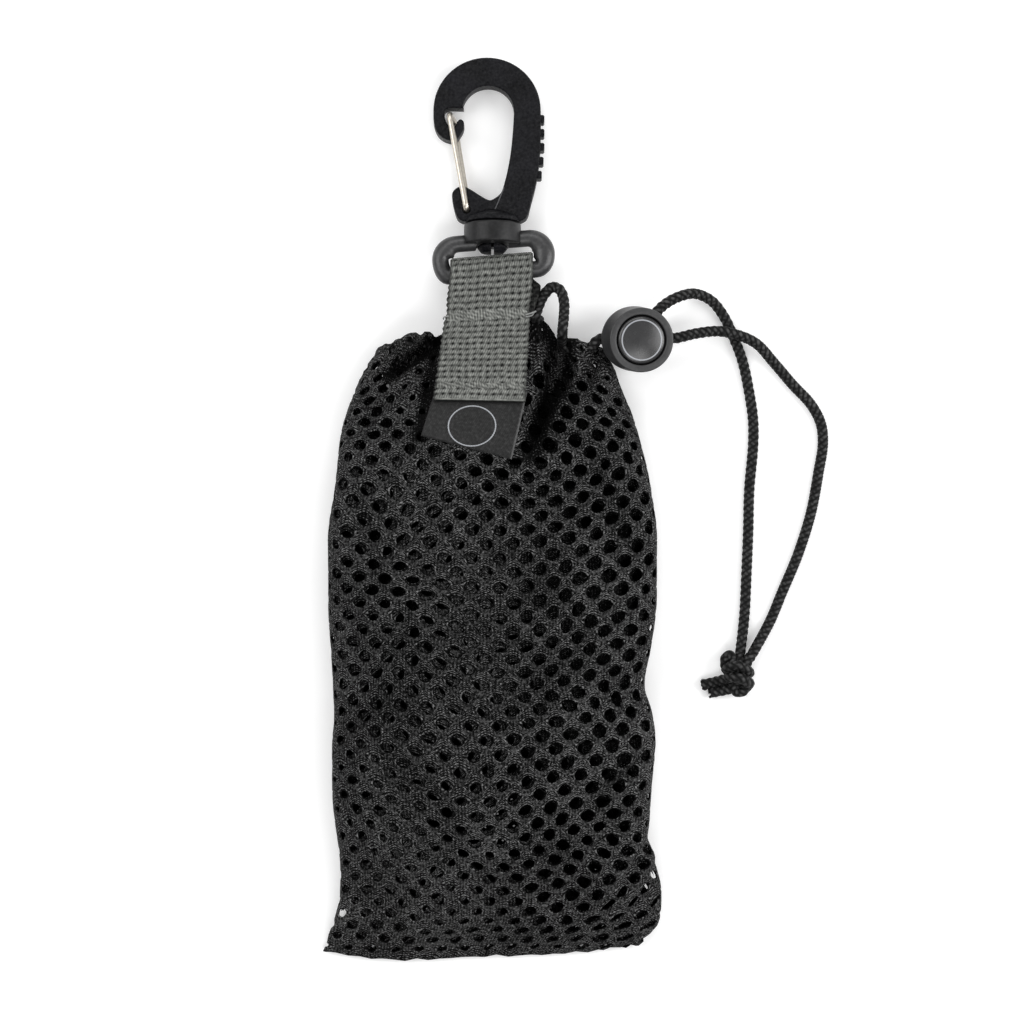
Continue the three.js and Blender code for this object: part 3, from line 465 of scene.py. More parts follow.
MESH = knit_material("mesh_knit", 0.185, 0.001, 1.0)
WEBBING = webbing_material()
LABEL_TAPE = label_material()
CORD = cord_material()
HOOK_PLASTIC = plastic("hook_plastic", (0.0048, 0.0048, 0.0060), 0.46, 1.0, 1400.0, 0.95, 0.0003, 2.2, Specular_IOR_Level=0.12)
RING_PLASTIC = plastic("ring_plastic", (0.028, 0.028, 0.029), 0.36, 0.4, 1300.0, 0.4)
LOCK_PLASTIC = plastic("lock_plastic", (0.026, 0.026, 0.027), 0.42, 0.3, 1500.0, 0.3)
BUTTON_PLASTIC = plastic("button_plastic", (0.020, 0.020, 0.021), 0.24, 0.03, Coat_Weight=0.4, Coat_Roughness=0.25)
PRINT = plastic("pale_ring", (0.30, 0.31, 0.33), 0.4, 0.05)
THREAD = plastic("grey_thread", (0.20, 0.205, 0.20), 0.7, 0.6, 900.0)
# paler plastic for a painted highlight along the hook's moulded edge
EDGE_HIGHLIGHT_PLASTIC = plastic("hook_edge_painted_highlight", (0.045, 0.045, 0.05), 0.4, 0.2)
STEEL = steel()
FLOOR, floor_tree, floor_bsdf = material("floor_pale", (0.95, 0.95, 0.95), 0.7, Specular_IOR_Level=0.2, Emission_Strength=0.14)

floor = mesh_object("floor", np.array([[-3000, -3000, 0], [3000, -3000, 0], [3000, 3000, 0], [-3000, 3000, 0]], float), np.array([[0, 1, 2, 3]]), FLOOR)

# ------------------------------------------------------------------ the bag's form
WALL, ROUND, WIDEST, BELLY = 1.3, 2.6, 0.42, 1.35
HEM_R, HEM_FLAP, CORD_R = 2.85, 7.5, 1.4
CLOTH = 0.34  # half thickness of the knitted cloth
# y, left, right, height, drop left, drop right; mouth to bottom seam
SECTIONS = np.array(
    [
        [46.6, -33.0, 32.0, 17.0, 3.4, 3.9],
        [42.5, -35.8, 34.2, 17.2, 3.4, 3.4],
        [36.3, -38.6, 36.2, 18.2, 2.8, 2.8],
        [28.4, -41.4, 39.4, 20.4, 2.0, 2.0],
        [17.7, -43.0, 42.6, 23.0, 1.1, 1.1],
        [5.3, -44.7, 44.9, 25.0, 0, 0],
        [-8.8, -46.5, 46.5, 26.2, 0, 0],
        [-25.7, -46.3, 46.3, 26.6, 0, 0],
        [-39.8, -45.5, 44.6, 26.4, 0, 0],
        [-49.6, -45.1, 43.0, 26.0, 0, 0],
        [-58.1, -44.9, 44.9, 25.8, 0, 0],
        [-66.5, -45.5, 45.8, 25.4, 0, 0],
        [-79.2, -44.9, 45.2, 24.0, 0, 0],
        [-91.9, -43.9, 44.1, 21.4, 0, 0],
        [-101.2, -43.4, 46.6, 18.4, 0, 0],
        [-108.8, -43.5, 47.5, 15.0, 0, 0],
        [-115.8, -44.9, 47.2, 11.0, 0, 0],
        [-121.8, -46.9, 43.0, 6.6, 0, 0.8],
        [-126.6, -47.5, 39.9, 2.9, -2.8, -3.6],
    ]
)
# x0, y0, x1, y1, depth, width of the main dents
FOLDS = np.array(
    [
        [-15.0, 44.5, -32.0, 37.0, 2.6, 3.4],
        [18.5, 45.0, 11.5, 19.0, 3.2, 3.6],
        [27.0, 38.0, 21.0, 20.0, 1.6, 4.5],
        [-30.0, 22.0, -18.0, -2.0, 1.4, 7.0],
        [40.0, -49.0, 22.0, -58.0, 1.8, 6.0],
        [-40.0, -57.0, -22.0, -48.0, 1.3, 6.0],
        [38.0, -90.0, 20.0, -112.0, 2.0, 5.5],
        [-38.0, -108.0, -16.0, -96.0, 1.2, 6.0],
    ]
)


def row_at(y):
    return np.stack([pchip(-SECTIONS[:, 0], SECTIONS[:, k], -np.asarray(y, float)) for k in range(1, 6)], -1)


# creases of the loose cloth beside the strap, same columns
CREASES = np.array(
    [
        [19.4, 47.0, 18.4, 34.5, 7.5, 3.2],
        [17.6, 35.0, 10.4, 15.0, 6.5, 2.4],
        [30.0, 44.0, 27.0, 33.0, 2.4, 2.0],
        [-15.6, 46.5, -29.5, 37.2, 6.6, 2.2],
        [-17.8, 38.0, -18.6, 30.0, 3.0, 1.8],
        [-26.0, 32.0, -34.0, 26.0, 1.6, 2.6],
        [30.0, 12.0, 38.0, -14.0, 1.6, 3.0],
        [-38.0, 4.0, -30.0, -24.0, 1.5, 3.2],
        [12.0, -20.0, 26.0, -40.0, 1.2, 4.0],
        [-30.0, -70.0, -10.0, -84.0, 1.4, 3.6],
        [40.0, -70.0, 27.0, -84.0, 2.0, 2.4],
    ]
)


def fold(p, table=FOLDS):
    x, y, z = p[..., 0], p[..., 1], p[..., 2]
    weight = smooth(6.5, 10.5, z)
    drop = np.zeros_like(x)
    for x0, y0, x1, y1, depth, width in table:
        dx, dy = x1 - x0, y1 - y0
        t = np.clip(((x - x0) * dx + (y - y0) * dy) / (dx * dx + dy * dy), 0, 1)
        d = np.hypot(x - x0 - t * dx, y - y0 - t * dy) / width
        drop = drop + depth * np.exp(-d * d) * smooth(-0.2, 0.35, 1 - t)
    out = np.array(p, float)
    out[..., 2] = z - weight * drop
    return out


def section_point(y, row, angle, inset):
    left, right, height, drop_l, drop_r = row
    a, xc = (right - left) / 2 - inset, (right + left) / 2
    c, s, k = np.cos(angle), np.sin(angle), 2 / ROUND
    share = np.sign(c) * np.abs(c) ** k
    zc = inset + WIDEST * (height - 2 * inset)
    rise = np.abs(s) ** k
    z = np.where(s >= 0, zc + (height - inset - zc) * rise, np.maximum(inset, zc - (zc - inset) * BELLY * rise))
    drop = np.where(share < 0, drop_l, drop_r) * np.abs(share) ** 3
    return np.stack([xc + a * share, y - drop, z], -1)


RIM = SECTIONS[0]


def rim_normal(angle):
    d = section_point(RIM[0], RIM[1:], angle + 0.06, 0) - section_point(RIM[0], RIM[1:], angle - 0.06, 0)
    return unit(np.stack([d[..., 2], np.zeros_like(d[..., 0]), -d[..., 0]], -1))


def hem_point(angle, inwards, up):
    angle = np.asarray(angle, float)
    p = section_point(RIM[0], RIM[1:], angle, 0) - rim_normal(angle) * inwards
    p[..., 1] += up
    return fold(p)


def front_height(x, y):
    x, y = np.broadcast_arrays(np.asarray(x, float), np.asarray(y, float))
    row = np.stack([np.interp(-y, -SECTIONS[:, 0], SECTIONS[:, k]) for k in range(1, 4)], -1)
    left, right, height = row[..., 0], row[..., 1], row[..., 2]
    share = np.minimum(1, np.abs((x - (left + right) / 2) / ((right - left) / 2)))
    zc = WIDEST * height
    z = zc + (height - zc) * (1 - share**ROUND) ** (1 / ROUND)
    return fold(np.stack([x, y, z], -1))[..., 2]


# ------------------------------------------------------------------ frames of the hook and the lock
TILT = 6.2 * DEG
SWIVEL = (0.0, 77.4, 8.75)
HOOK_FRAME = Matrix.Translation(Vector(SWIVEL) * MM) @ Matrix.Rotation(-TILT, 4, "X")
LOCK = dict(x=39.6, y=48.4, z=1.0, lean=(2.2, -1.1, 15.0), at=8.0, turn=12 * DEG, off=1.75)
LOCK_TURN = Vector((0, 0, 1)).rotation_difference(Vector(LOCK["lean"]).normalized()).to_matrix()
LOCK_FRAME = Matrix.Translation(Vector((LOCK["x"], LOCK["y"], LOCK["z"])) * MM) @ LOCK_TURN.to_4x4()


def from_lock(x, y, z):
    return np.array(LOCK_TURN @ Vector((x, y, z))) + (LOCK["x"], LOCK["y"], LOCK["z"])


def in_lock(s, off):
    c, n = math.cos(LOCK["turn"]), math.sin(LOCK["turn"])
    return from_lock(c * s - n * off, n * s + c * off, LOCK["at"])


# ------------------------------------------------------------------ drawcord
LOOP = [(19.6, 49.4, 15.0), (20.0, 53.4, 14.4), (20.1, 58.2, 13.0), (19.0, 61.5, 11.8), (16.9, 62.4, 11.0), (14.5, 60.2, 10.4), (12.9, 56.8, 10.5), (12.0, 53.4, 10.7)]
UPPER = [
    (48.7, 57.7, 7.5), (52.4, 59.8, 6.2), (57.2, 60.9, 4.0), (62.1, 58.9, 2.2), (65.8, 54.2, 1.5), (68.0, 49.5, 1.45),
    (70.8, 42.2, 1.45), (72.8, 32.9, 1.45), (73.9, 25.0, 1.45), (73.9, 18.0, 1.45), (72.8, 5.3, 1.45), (72.5, -6.5, 1.45),
    (72.0, -18.7, 1.45), (71.4, -30.5, 1.6), (70.1, -41.3, 3.2),
]
LOWER = [
    (52.0, 48.2, 8.0), (57.5, 49.5, 6.7), (63.8, 50.2, 5.3), (69.3, 49.2, 4.65), (74.8, 46.7, 3.3), (79.6, 41.6, 1.9),
    (85.2, 35.1, 1.45), (90.3, 29.6, 1.45), (93.1, 24.2, 1.45), (93.7, 18.5, 1.45), (92.5, 10.6, 1.45), (90.3, -1.2, 1.45),
    (86.6, -13.0, 1.45), (82.0, -24.0, 1.45), (78.7, -31.9, 1.6), (73.6, -41.0, 4.0),
]
EXIT = 0.62
off = LOCK["off"]
upper_route = [
    hem_point(EXIT, HEM_R, 0) + (0.6, 0, -0.2), in_lock(-10.2, off) + (-0.6, 0.2, 1.4), in_lock(-7.5, off), in_lock(-2, off),
    in_lock(3.4, off), in_lock(5.6, 3.5) + (0, 0, 0.1), in_lock(6.7, 5.9) + (0, 0, 0.1), *UPPER,
]
lower_route = [
    hem_point(-EXIT, HEM_R, 0) + (0.6, 0, 0.4), in_lock(-9.6, -off) + (-0.4, -0.2, -1.6), in_lock(-7.2, -off), in_lock(-2, -off),
    in_lock(5, -off), in_lock(9, -off + 0.1), *LOWER,
]
def braid(angle, run, phase=0.0):
    """Height of a braided cord's strands, 0 in the grooves to 1 on the crests."""
    a, b = 2 * angle - 1.7 * run + phase, 2 * angle + 1.7 * run - phase
    ca, cb = np.cos(a), np.cos(b)
    la, lb = np.abs(ca), np.abs(cb)
    return np.where(ca * cb > -0.25, la**0.9 * (0.6 + 0.4 * lb**0.6), 0.85 * lb**0.9 * (0.6 + 0.4 * la**0.6))


def cord_piece(line, radius=CORD_R, sides=32, phase=0.0, taper=None):
    shape = lambda ang, run: 0.90 + 0.24 * braid(ang, run, phase)
    r = np.full(len(line), radius) if taper is None else radius * taper
    v, f, ang, run = tube(line, r, sides, shape=shape)
    v[:, 2] = np.maximum(v[:, 2], 0.02)
    return v, f, braid(ang, run, phase)


def cord_object(name, line, **more):
    return joined(name, [cord_piece(line, **more)], CORD, fields=("height",))


upper_line = curve_through(upper_route, 0.18)
lower_line = curve_through(lower_route, 0.18)
strand_upper = cord_object("cord_upper", upper_line)
strand_lower = cord_object("cord_lower", lower_line, phase=0.9)
for ob, n in ((strand_upper, "strand_upper"), (strand_lower, "strand_lower")):
    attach(ob, "bag")
    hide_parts(n)

# the knot: both ends wound once round each other, with a pinched ear and two cut tails
KNOT_RUNS = [
    # wraps across the front
    [(66.3, -45.6, 2.6), (66.6, -45.0, 6.0), (69.0, -44.4, 8.0), (71.3, -45.2, 7.3), (72.6, -46.4, 4.6), (71.6, -47.0, 2.1)],
    [(66.9, -48.0, 2.4), (67.0, -47.6, 5.6), (69.2, -47.6, 7.9), (71.6, -48.6, 6.9), (72.7, -49.6, 4.2), (71.4, -50.0, 2.0)],
    # strands that run down into the knot
    [(70.1, -41.3, 3.2), (69.8, -43.6, 4.2), (69.4, -46.4, 4.6), (69.0, -49.4, 4.2)],
    [(73.6, -41.0, 4.0), (72.0, -43.4, 4.6), (71.0, -46.2, 4.4), (70.6, -49.6, 3.8)],
    # pinched ear at the upper left
    [(67.7, -47.2, 3.4), (66.2, -45.0, 3.8), (65.9, -42.7, 4.0), (66.9, -41.5, 4.2), (68.0, -42.6, 4.4), (68.2, -44.8, 4.8), (68.9, -46.8, 5.0)],
    # turn at the lower right
    [(72.4, -48.2, 3.0), (71.9, -50.6, 3.2), (69.9, -52.0, 3.0), (68.4, -51.0, 3.0), (68.0, -49.0, 3.6)],
]
TAIL_RUNS = [
    [(70.0, -46.4, 4.4), (66.7, -48.0, 3.4), (63.2, -49.1, 2.0), (59.6, -50.0, 1.5)],
    [(70.2, -48.8, 3.8), (67.6, -50.8, 2.7), (64.9, -51.6, 1.9), (61.9, -52.1, 1.55)],
]
knot_parts = [cord_piece(curve_through(r, 0.2), phase=0.7 * i, sides=28) for i, r in enumerate(KNOT_RUNS)]
for i, r in enumerate(TAIL_RUNS):
    line = curve_through(r, 0.2)
    run = np.linspace(0, 1, len(line))
    ragged = 1 + 0.14 * smooth(0.82, 1.0, run) * (0.6 + 0.4 * np.sin(run * 190 + i))
    knot_parts.append(cord_piece(line, phase=1.1 * i, sides=28, taper=ragged))
    # cut yarn ends that stand out of the tail
    end, way = line[-1], unit(line[-1] - line[-6])
    side = unit(np.cross(way, (0, 0, 1)))
    for k in range(7):
        a = TAU * k / 7 + i
        root = end + 0.9 * (math.cos(a) * side + math.sin(a) * np.array([0, 0, 1.0])) - 0.5 * way
        tip = root + way * (0.85 + 0.45 * math.sin(3.1 * k + i)) + (0.25 * math.cos(a) + 0.3 * math.sin(5.3 * k)) * side
        tip[2] = max(tip[2], 0.35)
        v, f, ang, run2 = tube(even(np.array([root, tip]), 0.3), 0.36, 8)
        knot_parts.append((v, f, 0.5))
knot = joined("knot", knot_parts, CORD, fields=("height",))
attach(knot, "bag")
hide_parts("cord_knot")


# ------------------------------------------------------------------ knitted mesh
CELLS = 27  # holes round the bag
ROWS = 46  # rows of holes from the mouth to the seam
HEM_MID = HEM_R - 0.45


def bag_table():
    """Points of the cloth's middle over (t along, f around), with the hem at negative t."""
    nf = 810
    f = np.arange(nf) / nf
    ys = np.concatenate([np.linspace(46.6, -118, 330), np.linspace(-118, -126.6, 40)[1:]])
    dense = np.linspace(0, TAU, 1441)
    rows, lines = row_at(ys), []
    for y, row in zip(ys, rows):
        p = section_point(y, row, dense, 0.45)
        step = np.concatenate([[0], np.cumsum(np.linalg.norm(np.diff(p, axis=0), axis=1))])
        half = step[720]
        target = np.where(f < 0.5, f / 0.5 * half, half + (f - 0.5) / 0.5 * (step[-1] - half))
        angle = np.interp(target, step, dense)
        p = fold(fold(section_point(y, row, angle, 0.45)), CREASES)
        pinch = float(smooth(-122.0, -126.6, y))
        flat_z = 1.15 + 0.5 * np.sign(np.sin(angle)) * np.minimum(1, 12 * np.abs(np.sin(angle)))
        p[:, 2] = lerp(p[:, 2], flat_z, pinch)
        lines.append(p)
        if y == ys[0]:
            mouth_angle = angle
    body = np.array(lines)
    top = body[:, int(0.25 * nf)]
    t = np.concatenate([[0], np.cumsum(np.linalg.norm(np.diff(top, axis=0), axis=1))])
    hem_t, hem = [], []
    for d in np.linspace(HEM_FLAP - 0.3, 0.4, 14):
        hem.append(fold(hem_point(mouth_angle, HEM_R + HEM_MID, -d), CREASES))
        hem_t.append(-math.pi * HEM_MID - d)
    for turn in np.linspace(180, 5, 22):
        hem.append(fold(hem_point(mouth_angle, HEM_R - HEM_MID * math.cos(turn * DEG), HEM_MID * math.sin(turn * DEG)), CREASES))
        hem_t.append(-HEM_MID * turn * DEG)
    return np.concatenate([hem_t, t]), f, np.concatenate([np.array(hem), body]), mouth_angle


def normals_of(table, t):
    df = np.roll(table, -1, 1) - np.roll(table, 1, 1)
    dt = np.gradient(table, t, axis=0)
    return unit(np.cross(df, dt))


TABLE_T, TABLE_F, TABLE, MOUTH = bag_table()
T_END = TABLE_T[-1]
NORMALS = normals_of(TABLE, TABLE_T)
UP = np.sign(NORMALS[200, int(0.25 * len(TABLE_F)), 2])
NORMALS *= UP


def calm_at_exits(f):
    """Little gathering where the cord leaves the hem."""
    angle = np.interp(f, TABLE_F, MOUTH)
    near = np.minimum(np.abs(angle - EXIT), np.abs(angle - (TAU - EXIT)))
    return smooth(0.05, 0.22, near)


def wrinkles(t, f, p):
    """Height of the pleats and soft creases over the cloth."""
    tt, ff = np.meshgrid(t, f, indexing="ij")
    x, y, z = p[..., 0], p[..., 1], p[..., 2]
    # pleats drawn up by the cord, which run out down the cloth
    reach = 10 + 9 * (0.5 + 0.5 * np.cos(TAU * 5 * ff + 1.0)) * (0.5 + 0.5 * np.cos(TAU * 3 * ff + 4.0)) * 2
    fade = np.exp(-np.maximum(tt, 0) / reach) * np.where(tt < 0, 1.0, 1.0)
    pleat = np.zeros_like(tt)
    for n, w, ph, drift in ((23, 0.55, 0.4, 0.010), (29, 0.5, 2.1, -0.013), (37, 0.3, 4.4, 0.02), (14, 0.35, 5.2, 0.0)):
        pleat += w * np.cos(TAU * n * ff + ph + drift * tt * TAU)
    d = 1.0 * fade * pleat * calm_at_exits(ff) * (1 - 0.6 * smooth(-12, -17, x) * (z > 6))
    # the cloth lies flat under the strap
    under = smooth(-19, -16, x) * smooth(13, 10, x) * smooth(8, 11, z) * smooth(26, 30, y)
    d = np.where(d > 0, d * (1 - under), d)
    # slow creases
    soft = np.zeros_like(tt)
    for _ in range(26):
        n, k, ph = RNG.integers(-9, 10), RNG.uniform(-1, 1) * TAU / 26, RNG.uniform(0, TAU)
        soft += np.cos(TAU * n * ff + k * tt + ph)
    side = np.minimum(np.abs(ff - 0.5), np.minimum(ff, 1 - ff))
    d += 0.17 * soft * smooth(4, 30, tt) * smooth(T_END, T_END - 14, tt) * (0.3 + 0.7 * smooth(0.01, 0.08, side))
    # squeezed creases at the lower right corner
    across = 0.85 * x - 0.5 * y
    d += 0.9 * np.exp(-(((x - 37) / 10) ** 2) - ((y + 104) / 15) ** 2) * np.cos(TAU * across / 6.2) * smooth(5, 10, z)
    return d


EDGE = int(np.argmax(TABLE_T >= 0))
SHIFT = NORMALS * wrinkles(TABLE_T, TABLE_F, TABLE)[..., None]
SHIFT[:EDGE] = SHIFT[EDGE]
puckers = sum(w * np.cos(TAU * n * TABLE_F + ph) for n, w, ph in ((21, 0.5, 1.3), (33, 0.4, 3.9), (12, 0.4, 0.2), (47, 0.2, 2.2)))
puckers = 0.75 * puckers * calm_at_exits(TABLE_F) * (1 - 0.65 * smooth(-12, -16, TABLE[EDGE][:, 0]) * (TABLE[EDGE][:, 2] > 6))
SHIFT[..., 1] += puckers[None] * np.exp(-np.maximum(TABLE_T, 0) / 6.0)[:, None]
# the hem is drawn up where the cord's loop is pulled out of it
pulled = 7.4 * np.exp(-(((TABLE[EDGE][:, 0] - 12.0) / 3.7) ** 2)) * (TABLE[EDGE][:, 2] > 8)
raised = 1.3 * np.exp(-(((TABLE[EDGE][:, 0] + 21.0) / 6.0) ** 2)) * (TABLE[EDGE][:, 2] > 8)
SHIFT[..., 1] += (pulled + raised)[None] * np.exp(-np.maximum(TABLE_T, 0) / 7.0)[:, None]
SHIFT[..., 2] -= 0.85 * pulled[None] * np.exp(-np.maximum(TABLE_T, 0) / 7.0)[:, None]
# the bottom seam is a little uneven, and hangs over at its ends
seam_x, seam_w = TABLE[..., 0], smooth(T_END - 8, T_END, TABLE_T)[:, None]
SHIFT[..., 1] += seam_w * (0.28 * np.sin(1.13 * seam_x + 0.4) + 0.22 * np.sin(1.9 * seam_x + 2.0) + 0.16 * np.sin(3.3 * seam_x + 4.0))
SHIFT[..., 1] -= seam_w * (0.4 * smooth(16, 36, seam_x) + 1.7 * smooth(2, -33, seam_x))
SHIFT[..., 0] -= 0.8 * seam_w * smooth(-40, -46, seam_x)
SHIFT[..., 2] += seam_w * (0.3 + 0.3 * np.sin(0.8 * seam_x + 1.0))
TABLE = TABLE + SHIFT
TABLE[..., 2] = np.maximum(TABLE[..., 2], CLOTH + 0.06)
NORMALS = normals_of(TABLE, TABLE_T) * UP


def hem_line(angle):
    """Middle of the hem, where the cord runs."""
    p = fold(hem_point(angle, HEM_R, 0), CREASES)
    f = np.interp(np.mod(angle, TAU), MOUTH, TABLE_F)
    move = np.array([np.interp(f, TABLE_F, SHIFT[EDGE][:, k], period=1.0) for k in range(3)])
    return p + move


casing_route = (
    [hem_line(a) for a in (EXIT + 0.1, 0.86, 0.99)]
    + [np.array(p) for p in LOOP]
    + [hem_line(a) for a in np.linspace(1.24, TAU - EXIT - 0.1, 31)]
)


casing_line = curve_through(casing_route, 0.24)
casing_line[:, 2] = np.maximum(casing_line[:, 2], CORD_R * 1.06)
casing = cord_object("cord_in_hem", casing_line, sides=24, phase=0.4)
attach(casing, "bag")
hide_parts("drawcord_casing")


def cloth_at(f, t):
    """Place and outward direction at a point of the cloth."""
    n = len(TABLE_F)
    fi = np.mod(f, 1.0) * n
    i0 = np.floor(fi).astype(int) % n
    i1, wf = (i0 + 1) % n, (fi - np.floor(fi))[..., None]
    j0 = np.clip(np.searchsorted(TABLE_T, t, side="right") - 1, 0, len(TABLE_T) - 2)
    wt = np.clip((t - TABLE_T[j0]) / (TABLE_T[j0 + 1] - TABLE_T[j0]), 0, 1)[..., None]

    def pick(a):
        return (a[j0, i0] * (1 - wf) + a[j0, i1] * wf) * (1 - wt) + (a[j0 + 1, i0] * (1 - wf) + a[j0 + 1, i1] * wf) * wt

    return pick(TABLE), unit(pick(NORMALS))


CELL_W, CELL_H = 7.8, T_END / ROWS
HOLE_W, HOLE_H = 2.02, 1.68  # half sizes of a hole
DIAMOND = []
for k in range(4):
    a, b = [(1, 0), (0, 1), (-1, 0), (0, -1)][k], [(0, 1), (-1, 0), (0, -1), (1, 0)][k]
    DIAMOND += [(4 * a[0] + (b[0] - a[0]) * m, 4 * a[1] + (b[1] - a[1]) * m) for m in range(4)]
DIAMOND = np.array(DIAMOND)  # corners at 4 quarter steps


def stream(s, t, centres, radius):
    """Level lines that flow round the holes near a point."""
    dx, dy = s[:, None] - centres[None, :, 0], t[:, None] - centres[None, :, 1]
    dx, dy = dx * radius / HOLE_W, dy * radius / HOLE_H
    r2 = np.maximum(dx * dx + dy * dy, radius * radius * 0.9)
    return t - (radius * radius * dy / r2).sum(1)


def lattice(columns, wrap, cells, jitter, shape_of=None, step=1, seed=3):
    """Cells of knitted mesh, each with a hole: flat places and thickness shares of its rings.
    Returns flat coordinates (s, t), height share, faces; the two faces of the cloth meet at the holes."""
    key, flat, share, level, faces = {}, [], [], [], []

    def corner(cs, ct, ks, kt, side):
        k = ((ks % (8 * columns)) if wrap else ks, kt, side)
        if k not in key:
            key[k] = len(flat)
            flat.append((cs, ct))
            share.append(side)
            level.append(None)
        return key[k]

    outline = DIAMOND[::step]
    ring = len(outline)
    loose = np.random.default_rng(seed)
    for (r, c, cs, ct) in cells:
        js, jt, jr = jitter(r, c)
        wide, high, lean = (1.0, 1.0, 0.0) if shape_of is None else shape_of(cs, ct)
        around = []
        for dr in (-2, -1, 0, 1, 2):
            for dc in (-1, 0, 1):
                aside = dc if dr % 2 == 0 else dc + (-0.5 if r % 2 else 0.5)
                around.append((cs + aside * CELL_W, ct + dr * CELL_H))
        around = np.array(around)
        # outline of the cell, shared with its neighbours
        ks0, kt0 = 8 * c + (4 if r % 2 else 0), 4 * r
        edge = np.array([(cs + p * CELL_W / 8, ct + q * CELL_H / 4) for p, q in outline])
        way = np.arctan2(outline[:, 1] / 4 * CELL_H / HOLE_H, outline[:, 0] / 4 * (CELL_W / 2) / HOLE_W)
        wob = 1 + 0.055 * np.cos(2 * way + loose.uniform(0, TAU)) + 0.05 * np.cos(3 * way + loose.uniform(0, TAU))
        wob = wob + 0.025 * loose.uniform(-1, 1, ring)
        du, dv = HOLE_W * jr * wob * np.cos(way), HOLE_H * jr * wob * np.sin(way)
        cl, sl = math.cos(lean), math.sin(lean)
        p, q = wide * (cl * du + sl * dv), high * (cl * dv - sl * du)
        around_hole = np.stack([cl * p - sl * q, sl * p + cl * q], 1)
        hole = around_hole + (cs + js, ct + jt)
        lip = around_hole + 0.3 * unit(around_hole) + (cs + js, ct + jt)
        psi_edge = stream(edge[:, 0], edge[:, 1], around, 1.8)
        psi_lip = stream(lip[:, 0], lip[:, 1], around, 1.8)
        psi_hole = stream(hole[:, 0], hole[:, 1], around, 1.8)
        top = [corner(*edge[k], ks0 + int(outline[k, 0]), kt0 + int(outline[k, 1]), 1) for k in range(ring)]
        low = [corner(*edge[k], ks0 + int(outline[k, 0]), kt0 + int(outline[k, 1]), -1) for k in range(ring)]
        for k in range(ring):
            level[top[k]] = level[low[k]] = psi_edge[k]
        at = len(flat)
        flat.extend(map(tuple, lip))
        flat.extend(map(tuple, hole))
        flat.extend(map(tuple, lip))
        lips = 0.8 + 0.25 * loose.uniform(-1, 1, ring)
        share.extend(list(lips) + [0.0] * ring + list(-lips))
        level.extend(list(psi_lip) + list(psi_hole) + list(psi_lip))
        k = np.arange(ring)
        n = (k + 1) % ring
        top, low = np.array(top), np.array(low)
        lt, lh, lb = at + k, at + ring + k, at + 2 * ring + k
        ltn, lhn, lbn = at + n, at + ring + n, at + 2 * ring + n
        faces.append(np.stack([top, top[n], ltn, lt], 1))
        faces.append(np.stack([lt, ltn, lhn, lh], 1))
        faces.append(np.stack([lh, lhn, lbn, lb], 1))
        faces.append(np.stack([lb, lbn, low[n], low], 1))
    return key, np.array(flat), np.array(share, float), np.array(level, float), np.concatenate(faces)


def hash_jitter(amount, seed):
    table = np.random.default_rng(seed).uniform(-1, 1, (64, 64, 3))

    def pick(r, c):
        a = table[r % 64, c % 64]
        return amount * a[0], amount * a[1], 1 + 0.07 * a[2]

    return pick


def crease_shade(p):
    """How dark the cloth lies in the deep creases, 0 to 1."""
    dark = np.zeros(len(p))
    for x0, y0, x1, y1, depth, width in CREASES:
        dx, dy = x1 - x0, y1 - y0
        k = ((p[:, 0] - x0) * dx + (p[:, 1] - y0) * dy) / (dx * dx + dy * dy)
        k = np.clip(k, 0, 1)
        d = np.hypot(p[:, 0] - x0 - k * dx, p[:, 1] - y0 - k * dy) / ((1.2 if x0 > 0 else 0.85) * width)
        dark = np.maximum(dark, min(1.0, depth / 6.5) ** 1.5 * np.exp(-(d**4)) * (1 - 0.35 * k))
    # the drawn-up hem beside the strap
    dark = np.maximum(dark, 0.75 * np.exp(-(((p[:, 0] - 13.5) / 4.0) ** 4) - ((p[:, 1] - 53.0) / 5.5) ** 4))
    # close to the left edges of the strap and the tab
    for x0, y0, x1, y1, wide in ((-16.2, 47.0, -17.2, 32.0, 1.2), (-17.6, 33.0, -21.0, 20.5, 1.7)):
        k = np.clip(((p[:, 0] - x0) * (x1 - x0) + (p[:, 1] - y0) * (y1 - y0)) / ((x1 - x0) ** 2 + (y1 - y0) ** 2), 0, 1)
        d = np.hypot(p[:, 0] - x0 - k * (x1 - x0), p[:, 1] - y0 - k * (y1 - y0)) / wide
        dark = np.maximum(dark, 0.7 * np.exp(-(d**4)))
    return dark * smooth(6, 9, p[:, 2])


def painted_shade_and_light(p):
    """Broad painted shade over the middle and lower left of the front, and painted light on its right side."""
    x, y = p[:, 0], p[:, 1]
    tone = 0.10 * np.exp(-(((x + 27) / 15) ** 2) - ((y + 58) / 26) ** 2) + 0.09 * np.exp(-(((x - 1) / 16) ** 2) - ((y + 34) / 26) ** 2)
    tone = tone - 0.04 * smooth(20, 30, x) * smooth(22, 4, y) * smooth(-104, -88, y)
    return tone * smooth(6, 9, p[:, 2])


# places at the bottom edge where light shows through both walls
THIN = [(-42.6, -116.0), (45.6, -105.2)]


